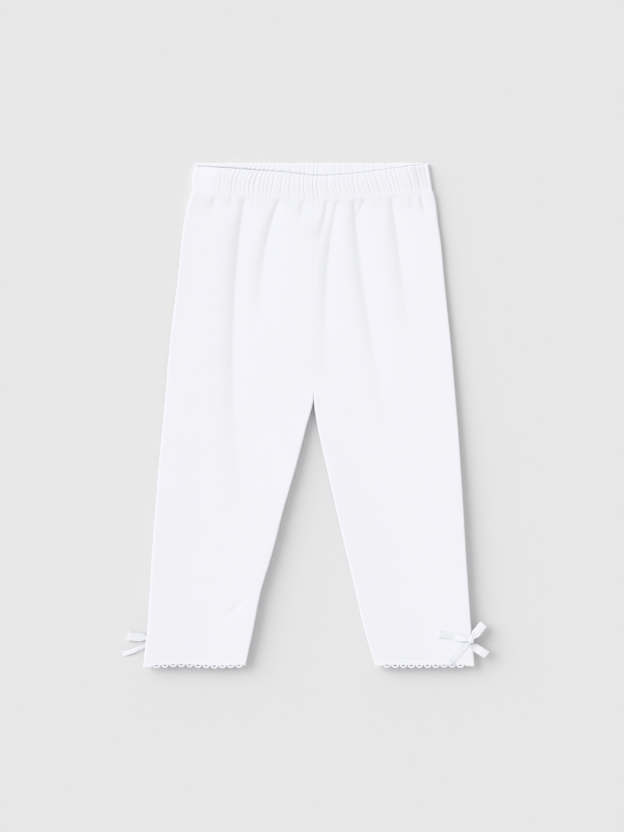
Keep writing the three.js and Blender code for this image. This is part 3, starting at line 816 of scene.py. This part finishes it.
def from_knot(knot, heading, out, left, up):
    """Points at distances from a knot: out towards the heading, to the left of it and up."""
    ahead = np.array(heading, dtype=float) / np.hypot(*heading)
    x = knot[0] + ahead[0] * out - ahead[1] * left
    y = knot[1] + ahead[1] * out + ahead[0] * left
    return points(x, y, knot[2] + up)


def ribbon_surface(knot, heading, out, up, width, roll=0.0, cup=0.0, drift=0.0, pleats=0.35):
    """A ribbon whose centre line runs in the upright plane through the knot towards heading. out,
    up, width, roll, cup and drift are arrays along it: the distance from the knot, the height
    above it, the width, the turn about the heading, the rise of its edges, as a parabola across
    it, and how far it lies to the left of the line. Near the knot a cosine across it pleats it."""
    share = even_steps(14, crisp_start=True, crisp_end=True)[None, :] - 0.5
    out, up, width = (np.asarray(v, dtype=float)[:, None] for v in (out, up, width))
    roll, cup, drift = (
        np.broadcast_to(np.asarray(v, dtype=float).reshape(-1, 1), out.shape)
        for v in (roll, cup, drift)
    )
    gathered = pleats * (1 - ease((out - 2) / 8))
    rise = up + cup * (2 * share) ** 2 + gathered * np.cos(2 * np.pi * 2.5 * share + 0.8)
    across = width * share
    left = across * np.cos(roll) - rise * np.sin(roll) + drift
    return from_knot(knot, heading, out, left, across * np.sin(roll) + rise * np.cos(roll))


def ribbon_width(out, full=RIBBON_WIDTH):
    """A ribbon is pinched at the knot and has its whole width a few millimetres away."""
    return mix(RIBBON_PINCH, full, ease((out - 1.5) / 5.5))


def loop_line(reach, below, above, tip=0.35):
    """The centre line of a loop: out through the heights in below and back through those in above,
    at even distances. Over the angle in tip, half way round, the one passes into the other. The
    distance from the knot follows the sine of the turn, to the power 0.85."""
    turn = np.linspace(0, np.pi, 96)
    out = 0.8 + (reach - 0.8) * np.sin(turn) ** 0.85
    lower, upper = (heights(places, out / reach) for places in (below, above))
    return out, mix(lower, upper, ease((turn - np.pi / 2) / tip + 0.5))


def heights(places, share):
    """A smooth curve through heights at even distances."""
    rows = {"share": np.linspace(0, 1, len(places)), "up": np.array(places, dtype=float)}
    return read(rows, "share", "up", share)


def tail_line(reach, places):
    """The centre line of a loose end, through heights at even distances."""
    share = np.linspace(0, 1, 48)
    return 0.6 + (reach - 0.6) * share, heights(places, share)


def blunt(v):
    """A sine or cosine made blunter: its sign times its size to the power 0.75."""
    return np.sign(v) * np.abs(v) ** 0.75


def knot_surface(knot, size, heading):
    """The wrapped turn of ribbon round a bow's middle: a rounded block with creases that run
    along the wrap. It is a globe whose sines and cosines are blunter, in its three half sizes."""
    angle = np.linspace(0, 2 * np.pi, 49)[:-1][None, :]
    tilt = np.linspace(-np.pi / 2, np.pi / 2, 25)[:, None]
    crease = 1 + 0.07 * np.cos(9 * tilt) * np.cos(tilt)
    across = size[0] * blunt(np.sin(tilt)) + 0 * angle
    along = size[1] * blunt(np.cos(tilt)) * blunt(np.cos(angle)) * crease
    height = size[2] * blunt(np.cos(tilt)) * blunt(np.sin(angle)) * crease
    return from_knot(knot, heading, along, across, height)


def knot_place(name):
    """The middle of a knot: its height comes from the frame."""
    low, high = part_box(f"bow_{name}_knot")
    return (*KNOTS[name], (low.z + high.z) / 2 / MM)


def layers(out, below, above):
    """How far a loop's lower and upper layers lie to the left, from a few millimetres out."""
    share = np.linspace(0, 1, len(out))
    return mix(below, above, ease((share - 0.4) / 0.2)) * ease(out / 7)


def right_bow():
    """The bow on the right leg, which lies on the fold: its ribbons by name."""
    knot = knot_place("right")
    below = (-0.3, -0.75, -1.3, -1.42, -1.52, -1.6, -1.68)
    above = (0.1, 0.0, -0.5, -1.3, -1.2, -1.0, -0.8)
    out, up = loop_line(25.8, below, above, 0.2)
    roll = -0.13 * ease((out - 2) / 4)
    width = ribbon_width(out, 4.7)
    drift = layers(out, 0, 0.3)
    loop_in = ribbon_surface(knot, (-25.4, 4.6), out, up, width, roll, -0.1, drift)
    below = (-0.8, -1.5, -2.2, -2.8, -3.3, -3.7, -4.1)
    above = (-0.1, 0.1, -0.4, -1.0, -1.7, -2.4, -3.1)
    out, up = loop_line(16.2, below, above, 0.6)
    cup = -0.35 * ease((out - 4) / 6)
    drift = layers(out, -0.3, 0.3)
    width = ribbon_width(out, 6.9)
    loop_out = ribbon_surface(knot, (10.0, 12.3), out, up, width, -0.12, cup, drift, 0.45)
    out, up = tail_line(24.7, (-1.1, -1.44, -1.5, -1.58, -1.68, -1.74, -1.1))
    roll = -0.07 * ease((out - 4) / 6)
    tail_in = ribbon_surface(knot, (-17.0, -19.0), out, up, ribbon_width(out, 4.6), roll)
    out, up = tail_line(17.8, (-1.2, -1.65, -2.1, -2.0, -1.7, -1.75, -1.9))
    drift = -3.2 * ease(out / 5) * (1 - (out - 0.6) / 17.2)
    cup = -0.2 * ease((out - 5) / 6)
    width = ribbon_width(out, 6.6)
    tail_out = ribbon_surface(knot, (12.9, -12.2), out, up, width, 0, cup, drift, 0.5)
    return {"loop_in": loop_in, "loop_out": loop_out, "tail_in": tail_in, "tail_out": tail_out}


def left_bow():
    """The bow under the left leg: only one loop and one end reach out from under the fold."""
    knot = knot_place("left")
    low = (-0.95,) * 4
    out, up = loop_line(17.5, low, (0, -0.3, -0.4, -0.4))
    loop_in = ribbon_surface(knot, (17.5, 3.4), out, up, ribbon_width(out), pleats=0.1)
    out, up = loop_line(16.4, low, (-0.5, -0.35, -0.1, 0.1, 0.3, 0.5), 0.2)
    drift = -4.0 * ease(out / 4) * (1 - out / 16.4)
    width = ribbon_width(out, 6.8)
    loop_out = ribbon_surface(knot, (-15.6, 4.9), out, up, width, -0.02, 0.1, drift, 0.1)
    out, up = tail_line(17.0, (-0.9,) * 4)
    tail_in = ribbon_surface(knot, (12, -12), out, up, ribbon_width(out), pleats=0.1)
    out, up = tail_line(22.5, (-0.8, -0.45, -0.2, -0.2, -0.3, -0.5, -0.93))
    twisted = ease((out - 2) / 2) * (1 - ease((out - 9) / 5))
    drift = 2.4 * ease(out / 5) * (1 - out / 22.5)
    width = ribbon_width(out, 4.0)
    tail_out = ribbon_surface(
        knot, (-20.6, -9.2), out, up, width, -0.14 * twisted, -0.4 * twisted, drift, 0.1
    )
    return {"loop_in": loop_in, "loop_out": loop_out, "tail_in": tail_in, "tail_out": tail_out}


def loose_thread():
    """One thread end that has come out of the left hem's inner corner: a low arc to the table."""
    t = np.linspace(0, 1, 25)[None, :]
    x = mix(-51.2, -44.6, t)
    y = 4.6 + 1.5 * t + 0.35 * np.sin(2.6 * np.pi * t)
    z = mix(2.3, 0.22, t) + 0.7 * np.sin(np.pi * t) * (1 - t)
    centres = points(x, y, z)
    run = np.gradient(centres, axis=1)
    run /= np.linalg.norm(run, axis=-1, keepdims=True)
    side = np.cross(run, np.array([0, 0, 1.0]))
    side /= np.linalg.norm(side, axis=-1, keepdims=True)
    thick = 0.2 * ease(np.minimum(t, 1 - t) / 0.06) + THIN
    return tubes(centres, side, np.cross(side, run), points(thick, thick), around=6)


# ---------------------------------------------------------------- finishes


class Signal:
    """A value that changes over a surface: one socket of a material's nodes. Arithmetic on it
    adds the Math nodes."""

    def __init__(self, finish, socket):
        self.finish = finish
        self.socket = socket

    def math(self, operation, *values):
        """Adds one Math node."""
        return self.finish.node("ShaderNodeMath", {"operation": operation}, values)

    def __add__(self, other):
        return self.math("ADD", self, other)

    def __radd__(self, other):
        return self.math("ADD", other, self)

    def __sub__(self, other):
        return self.math("SUBTRACT", self, other)

    def __rsub__(self, other):
        return self.math("SUBTRACT", other, self)

    def __mul__(self, other):
        return self.math("MULTIPLY", self, other)

    def __rmul__(self, other):
        return self.math("MULTIPLY", other, self)

    def __truediv__(self, other):
        return self.math("DIVIDE", self, other)

    def __rtruediv__(self, other):
        return self.math("DIVIDE", other, self)

    def wave(self):
        """A cosine that repeats with every whole number."""
        return self.math("COSINE", self * (2 * np.pi))

    def zigzag(self):
        """Straight down from 1 to 0 and up again, with every whole number."""
        return self.math("ABSOLUTE", self.math("FRACT", self) * 2 - 1)


class Finish:
    """A material being made. Its fixed numbers go straight on the shader's own sockets."""

    def __init__(self, name, **fixed):
        self.material = bpy.data.materials.new(name)
        self.material.use_nodes = True
        self.tree = self.material.node_tree
        self.shader = self.tree.nodes["Principled BSDF"]
        for socket, value in fixed.items():
            self.shader.inputs[socket.replace("_", " ")].default_value = value

    def give(self, socket, value):
        """A socket gets a link from a signal, or a plain value."""
        if isinstance(value, Signal):
            self.tree.links.new(value.socket, socket)
        else:
            socket.default_value = value

    def node(self, kind, settings, inputs, output=0):
        """Adds a node: its settings first, then its sockets' values or links, by order or key."""
        made = self.tree.nodes.new(kind)
        for key, value in settings.items():
            setattr(made, key, value)
        pairs = inputs.items() if isinstance(inputs, dict) else enumerate(inputs)
        for key, value in pairs:
            self.give(made.inputs[key], value)
        return Signal(self, made.outputs[output])

    def cloth_place(self):
        """Millimetres across and along the cloth, from its own UV map."""
        place = self.node("ShaderNodeUVMap", {"uv_map": "cloth"}, {})
        across = self.node("ShaderNodeSeparateXYZ", {}, [place], output="X")
        along = self.node("ShaderNodeSeparateXYZ", {}, [place], output="Y")
        return place, across, along

    def noise(self, place, scale, detail=2.0, roughness=0.5):
        """Noise from 0 to 1."""
        fixed = {"Scale": scale, "Detail": detail, "Roughness": roughness}
        return self.node("ShaderNodeTexNoise", {}, {"Vector": place, **fixed})

    def relief(self, height, distance):
        """Feeds the normal with a height in fractions of a distance in metres."""
        inputs = {"Height": height, "Distance": distance, "Strength": 1.0}
        self.give(self.shader.inputs["Normal"], self.node("ShaderNodeBump", {}, inputs))

    def tint(self, colour, shade, amount):
        """The base colour, which is darker by the share in amount where shade is 1."""
        darker = [c * (1 - amount) for c in colour]
        inputs = {0: shade, 6: (*colour, 1), 7: (*darker, 1)}
        blend = self.node("ShaderNodeMix", {"data_type": "RGBA"}, inputs, output=2)
        self.give(self.shader.inputs["Base Color"], blend)

    def roughen(self, roughness):
        """The roughness, which changes over the surface."""
        self.give(self.shader.inputs["Roughness"], roughness)


def jersey_finish(name, settings, rib=1.0):
    """Fine jersey knit. Each wale is a rounded ridge whose stitches are Vs: the height is a
    parabola across the wale plus a cosine along it that lags towards the wale's sides."""
    finish = Finish(name, Specular_IOR_Level=0.25, Sheen_Weight=0.12, Sheen_Roughness=0.6)
    place, across, along = finish.cloth_place()
    drift = finish.noise(place, 0.11) - 0.5
    wale = (across / (settings.wale / MM) + drift * 1.6).zigzag()
    course = (along / (settings.course / MM) + wale * 0.5 + drift).wave()
    crown = 1 - wale * wale
    fuzz = finish.noise(place, 2.6, 3.0, 0.6)
    height = crown * rib + course * 0.3 + fuzz * 0.5
    finish.relief(height, settings.relief)
    tone = finish.noise(place, 0.045, 3.0, 0.55)
    # Random tone, plus painted shade between the wales, where the knit's valleys lie.
    finish.tint(settings.colour, 0.7 * tone + 0.3 * (1 - crown), 0.035)
    finish.roughen(0.86 + 0.1 * fuzz)
    return finish.material


def lace_finish(name, settings):
    """Cotton lace thread: two plies twisted round each other, as a slanting wave round the
    thread, and fine fibres."""
    finish = Finish(name, Specular_IOR_Level=0.3, Sheen_Weight=0.1, Sheen_Roughness=0.5)
    place, across, along = finish.cloth_place()
    ply = (along / 0.75 + across / 1.1).wave()
    fibre = finish.noise(place, 3.5, 3.0, 0.6)
    finish.relief(ply * 0.6 + fibre, 0.00003)
    # Random tone in the fibres, plus painted shade in the grooves between the plies.
    finish.tint(settings.colour, 0.5 * fibre + 0.25 * (1 - ply), 0.06)
    finish.roughen(0.72 + 0.15 * fibre)
    return finish.material


def heading_finish(name, settings):
    """The lace's solid band: fine threads that zigzag along the hem between two ridges. The
    height is a cosine across the band whose phase swings with the distance along it."""
    finish = Finish(name, Specular_IOR_Level=0.3, Sheen_Weight=0.1, Sheen_Roughness=0.5)
    place, across, along = finish.cloth_place()
    thread = (along / 0.62 + (across / 2.16).zigzag() * 1.2).wave()
    fibre = finish.noise(place, 3.0, 3.0, 0.6)
    finish.relief(thread * 0.7 + fibre, 0.00002)
    # Random tone in the fibres, plus painted shade where the threads' relief is low.
    finish.tint(settings.colour, 0.4 * fibre + 0.3 * (1 - thread), 0.03)
    finish.roughen(0.75 + 0.12 * fibre)
    return finish.material


def satin_finish(name, settings):
    """Satin ribbon: long floats of yarn along its length, as noise stretched along it, with a
    fine slanting wave for the weave."""
    finish = Finish(name, Specular_IOR_Level=0.6, Sheen_Weight=0.15, Sheen_Roughness=0.35)
    place, across, along = finish.cloth_place()
    longways = finish.node("ShaderNodeMapping", {}, {0: place, 3: (5.0, 0.5, 1.0)})
    floats = finish.noise(longways, 1.0, 3.0, 0.6)
    weave = (along / 0.42 + across * 0.5).wave()
    finish.relief(floats + weave * 0.25, 0.00003)
    finish.tint(settings.colour, floats, 0.05)
    finish.roughen(settings.roughness + 0.12 * floats)
    return finish.material


def table_finish(name, settings):
    """A plain matt sheet under the garment, with a trace of grain."""
    finish = Finish(name, Roughness=0.95, Specular_IOR_Level=0.1)
    place = finish.node("ShaderNodeTexCoord", {}, {}, output="Object")
    finish.tint(settings.floor_colour, finish.noise(place, 60.0), 0.006)
    return finish.material


# ---------------------------------------------------------------- settings


def colour_setting(name, description, default):
    """A colour that the user can change."""
    return bpy.props.FloatVectorProperty(
        name=name, description=description, default=default, min=0, max=1, subtype="COLOR"
    )


def number_setting(name, description, default, low, high, **kind):
    """A number that the user can change. kind is its unit or subtype, where one fits."""
    return bpy.props.FloatProperty(
        name=name, description=description, default=default, min=low, max=high, **kind
    )


class LEGGINGS_PG_cloth(bpy.types.PropertyGroup):
    """Sizes and colour of the jersey."""

    colour: colour_setting("Cloth colour", "Colour of the jersey", (0.912, 0.916, 0.959))
    thickness: number_setting(
        "Cloth thickness", "Thickness of one layer", CLOTH * MM, 0.0003, 0.002, unit="LENGTH"
    )
    wale: number_setting(
        "Wale width", "From one column of stitches to the next", 7e-4, 2e-4, 5e-3, unit="LENGTH"
    )
    course: number_setting(
        "Course height", "From one row of stitches to the next", 5e-4, 2e-4, 5e-3, unit="LENGTH"
    )
    relief: number_setting(
        "Knit relief", "How far the stitches stand out", 4e-5, 0, 1e-3, unit="LENGTH"
    )


class LEGGINGS_PG_lace(bpy.types.PropertyGroup):
    """Sizes and colour of the hems' lace."""

    colour: colour_setting("Lace colour", "Colour of the cotton lace", (0.925, 0.93, 0.965))
    heading: number_setting(
        "Heading thickness", "Thickness of the solid band", 8e-4, 3e-4, 2e-3, unit="LENGTH"
    )
    stitch: number_setting(
        "Stitch length", "From one sewing stitch to the next", 2.2e-3, 1e-3, 6e-3, unit="LENGTH"
    )


class LEGGINGS_PG_bows(bpy.types.PropertyGroup):
    """Sizes and colour of the satin bows."""

    colour: colour_setting("Satin colour", "Colour of the ribbon", (0.92, 0.926, 0.966))
    thickness: number_setting(
        "Ribbon thickness", "Thickness of the satin ribbon", 3e-4, 1e-4, 1e-3, unit="LENGTH"
    )
    roughness: number_setting(
        "Satin roughness", "Low for a glossier ribbon", 0.3, 0.1, 0.8, subtype="FACTOR"
    )


class LEGGINGS_PG_stage(bpy.types.PropertyGroup):
    """The table, the light and the camera."""

    floor_colour: colour_setting("Table colour", "Colour of the table", (0.80, 0.80, 0.80))
    window_strength: number_setting(
        "Window strength", "Strength of the broad light from the left", 2.07, 0, 20
    )
    window_width: number_setting(
        "Window width", "Angle that the light spans", np.radians(50), 0.01, 3.1, subtype="ANGLE"
    )
    window_height: number_setting(
        "Window height", "Angle above the table", np.radians(30), 0.1, 1.57, subtype="ANGLE"
    )
    window_turn: number_setting(
        "Window direction",
        "Angle from the left towards the waist",
        np.radians(27),
        -1.57,
        1.57,
        subtype="ANGLE",
    )
    room_strength: number_setting(
        "Room light", "Strength of the even light from all round", 0.67, 0, 5
    )
    distance: number_setting(
        "Camera distance", "Height of the camera above the table", 2.5, 0.5, 20, unit="LENGTH"
    )


SETTINGS = {
    "leggings_cloth": LEGGINGS_PG_cloth,
    "leggings_lace": LEGGINGS_PG_lace,
    "leggings_bows": LEGGINGS_PG_bows,
    "leggings_stage": LEGGINGS_PG_stage,
}


# ---------------------------------------------------------------- operators


class LEGGINGS_OT_waistband(bpy.types.Operator):
    """Makes the gathered waistband"""

    bl_idname = "leggings.waistband"
    bl_label = "Waistband"

    def execute(self, context):
        """The band is one closed ring."""
        finish = jersey_finish("waist_jersey", context.scene.leggings_cloth, rib=0.8)
        surface = waistband_surface()
        piece = mesh_object("waistband_cloth", surface, finish, close_rows=True, close_columns=True)
        finish_piece(piece, "waist_jersey", "waistband")
        return {"FINISHED"}


class LEGGINGS_OT_lace(bpy.types.Operator):
    """Makes the picot lace round both hems"""

    bl_idname = "leggings.lace"
    bl_label = "Lace hems"

    def execute(self, context):
        """Each hem has a solid band, a chain of thread, its picots and two rows of stitches."""
        lace = context.scene.leggings_lace
        thread = lace_finish("lace_thread", lace)
        band = heading_finish("lace_heading", lace)
        for name, side in SIDES.items():
            heading = mesh_object(f"lace_{name}_heading", lace_heading(side), band)
            thicken(heading, lace.heading / MM)
            finish_piece(heading, "lace", f"lace_{name}")
            foot = HemLine(side)
            parts = {"picots": lace_loops(side, foot), "chain": foot_chain(foot)}
            for row, (height, lift) in STITCH_ROWS.items():
                parts[row] = stitch_row(HemLine(side, height), lace.stitch / MM, lift)
            for part, grids in parts.items():
                piece = mesh_object(f"lace_{name}_{part}", grids, thread, close_columns=True)
                finish_piece(close_ends(piece), "lace")
        return {"FINISHED"}


class LEGGINGS_OT_bows(bpy.types.Operator):
    """Makes the two satin bows"""

    bl_idname = "leggings.bows"
    bl_label = "Satin bows"

    def execute(self, context):
        """Each bow has a knot, two loops and two loose ends, as its solids have."""
        bows = context.scene.leggings_bows
        satin = satin_finish("satin", bows)
        for name, ribbons in {"left": left_bow(), "right": right_bow()}.items():
            for part, surface in ribbons.items():
                piece = mesh_object(f"bow_{name}_{part}_ribbon", surface, satin)
                thicken(piece, bows.thickness / MM)
                finish_piece(piece, "satin", f"bow_{name}_{part}")
            surface = knot_surface(knot_place(name), KNOT_SIZES[name], KNOT_HEADING)
            piece = mesh_object(f"bow_{name}_knot_ribbon", surface, satin, close_columns=True)
            finish_piece(close_ends(piece), "satin", f"bow_{name}_knot")
        return {"FINISHED"}


class LEGGINGS_OT_legs(bpy.types.Operator):
    """Makes the two legs"""

    bl_idname = "leggings.legs"
    bl_label = "Legs"

    def execute(self, context):
        """Each leg is one panel: front, outer fold and back."""
        cloth = context.scene.leggings_cloth
        finish = jersey_finish("jersey", cloth)
        thread = mesh_object("loose_thread", loose_thread(), finish, close_columns=True)
        finish_piece(close_ends(thread), "jersey")
        for name, side in SIDES.items():
            panel = hem_sway(side, panel_surface(side))
            piece = thicken(mesh_object(f"leg_{name}_cloth", panel, finish), cloth.thickness / MM)
            finish_piece(piece, "jersey", f"leg_{name}")
            carried = [
                other
                for other in context.scene.objects
                if other.name.startswith((f"lace_{name}_", f"bow_{name}_")) and other.get("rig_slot")
            ]
            carried += [thread] if side < 0 else []
        return {"FINISHED"}


# The view's tones, as shares of its white: straight up to bright grey, then a soft shoulder that
# keeps white cloth from burning out. Its white is a little cool.
TONES = ((0.0, 0.0), (0.87, 0.871), (0.92, 0.922), (0.97, 0.943), (1.1, 0.957), (2.0, 1.0))
WHITE = (0.97, 0.976, 1.022)
TABLE_HALF = 4.0
TABLE_LEVEL = -0.0001  # just under the garment
VIEW_LENGTH = 0.6656  # of the table that the camera sees, in the direction of the legs
VIEW_MIDDLE = (0.00103, 0.1978)  # from the garment's own zero


class LEGGINGS_OT_stage(bpy.types.Operator):
    """Makes the table, the light and the camera"""

    bl_idname = "leggings.stage"
    bl_label = "Table, light and camera"

    def set_tones(self, view):
        """The view is shown plainly, with a soft shoulder at its brightest tones."""
        view.view_transform = "Standard"
        view.use_curve_mapping = True
        tones = view.curve_mapping
        tones.use_clip = False
        tones.extend = "HORIZONTAL"
        for curve, white in zip(tones.curves, WHITE):
            curve.points[1].location = [v * white for v in TONES[-1]]
            for x, y in TONES[1:-1]:
                curve.points.new(x * white, y * white)
            for point in (curve.points[0], curve.points[1]):
                point.handle_type = "VECTOR"
        tones.update()

    def execute(self, context):
        """A plain table, one broad light, an even room and a camera that looks straight down."""
        stage = context.scene.leggings_stage
        mesh = bpy.data.meshes.new("table")
        around = [(-1, -1), (1, -1), (1, 1), (-1, 1)]
        corners = [(TABLE_HALF * x, TABLE_HALF * y, TABLE_LEVEL) for x, y in around]
        mesh.from_pydata(corners, [], [(0, 1, 2, 3)])
        floor = bpy.data.objects.new("table", mesh)
        context.scene.collection.objects.link(floor)
        mesh.materials.append(table_finish("table", stage))

        lamp = bpy.data.lights.new("window", "SUN")
        lamp.energy = stage.window_strength
        lamp.angle = stage.window_width
        window = bpy.data.objects.new("window", lamp)
        window.rotation_euler = (0, -(np.pi / 2 - stage.window_height), -stage.window_turn)
        context.scene.collection.objects.link(window)

        room = bpy.data.worlds.new("room")
        room.use_nodes = True
        even = room.node_tree.nodes["Background"]
        even.inputs["Color"].default_value = (1, 1, 1, 1)
        even.inputs["Strength"].default_value = stage.room_strength
        context.scene.world = room

        lens = bpy.data.cameras.new("camera")
        lens.lens = lens.sensor_width * stage.distance / VIEW_LENGTH
        camera = bpy.data.objects.new("camera", lens)
        camera.location = (SHIFT[0] + VIEW_MIDDLE[0], SHIFT[1] + VIEW_MIDDLE[1], stage.distance)
        context.scene.collection.objects.link(camera)
        context.scene.camera = camera
        self.set_tones(context.scene.view_settings)
        return {"FINISHED"}


OPERATORS = (
    LEGGINGS_OT_stage,
    LEGGINGS_OT_waistband,
    LEGGINGS_OT_lace,
    LEGGINGS_OT_bows,
    LEGGINGS_OT_legs,
)


class LEGGINGS_PT_panel(bpy.types.Panel):
    """Lists the pieces of the leggings"""

    bl_idname = "LEGGINGS_PT_panel"
    bl_label = "Baby leggings"
    bl_space_type = "VIEW_3D"
    bl_region_type = "UI"
    bl_category = "Leggings"

    def draw(self, context):
        """Settings first, then a button for each operator."""
        for name, group in SETTINGS.items():
            box = self.layout.box()
            for key in group.__annotations__:
                box.prop(getattr(context.scene, name), key)
        for operator in OPERATORS:
            self.layout.operator(operator.bl_idname)


def register():
    """Registers the settings, the operators and the panel."""
    for name, group in SETTINGS.items():
        bpy.utils.register_class(group)
        setattr(bpy.types.Scene, name, bpy.props.PointerProperty(type=group))
    for made in (*OPERATORS, LEGGINGS_PT_panel):
        bpy.utils.register_class(made)


def unregister():
    """Takes everything back that register made."""
    for made in (LEGGINGS_PT_panel, *reversed(OPERATORS)):
        bpy.utils.unregister_class(made)
    for name, group in SETTINGS.items():
        delattr(bpy.types.Scene, name)
        bpy.utils.unregister_class(group)


def main():
    """Makes everything in order."""
    register()
    bpy.ops.leggings.stage()
    bpy.ops.leggings.waistband()
    bpy.ops.leggings.lace()
    bpy.ops.leggings.bows()
    bpy.ops.leggings.legs()


if __name__ == "__main__":
    main()
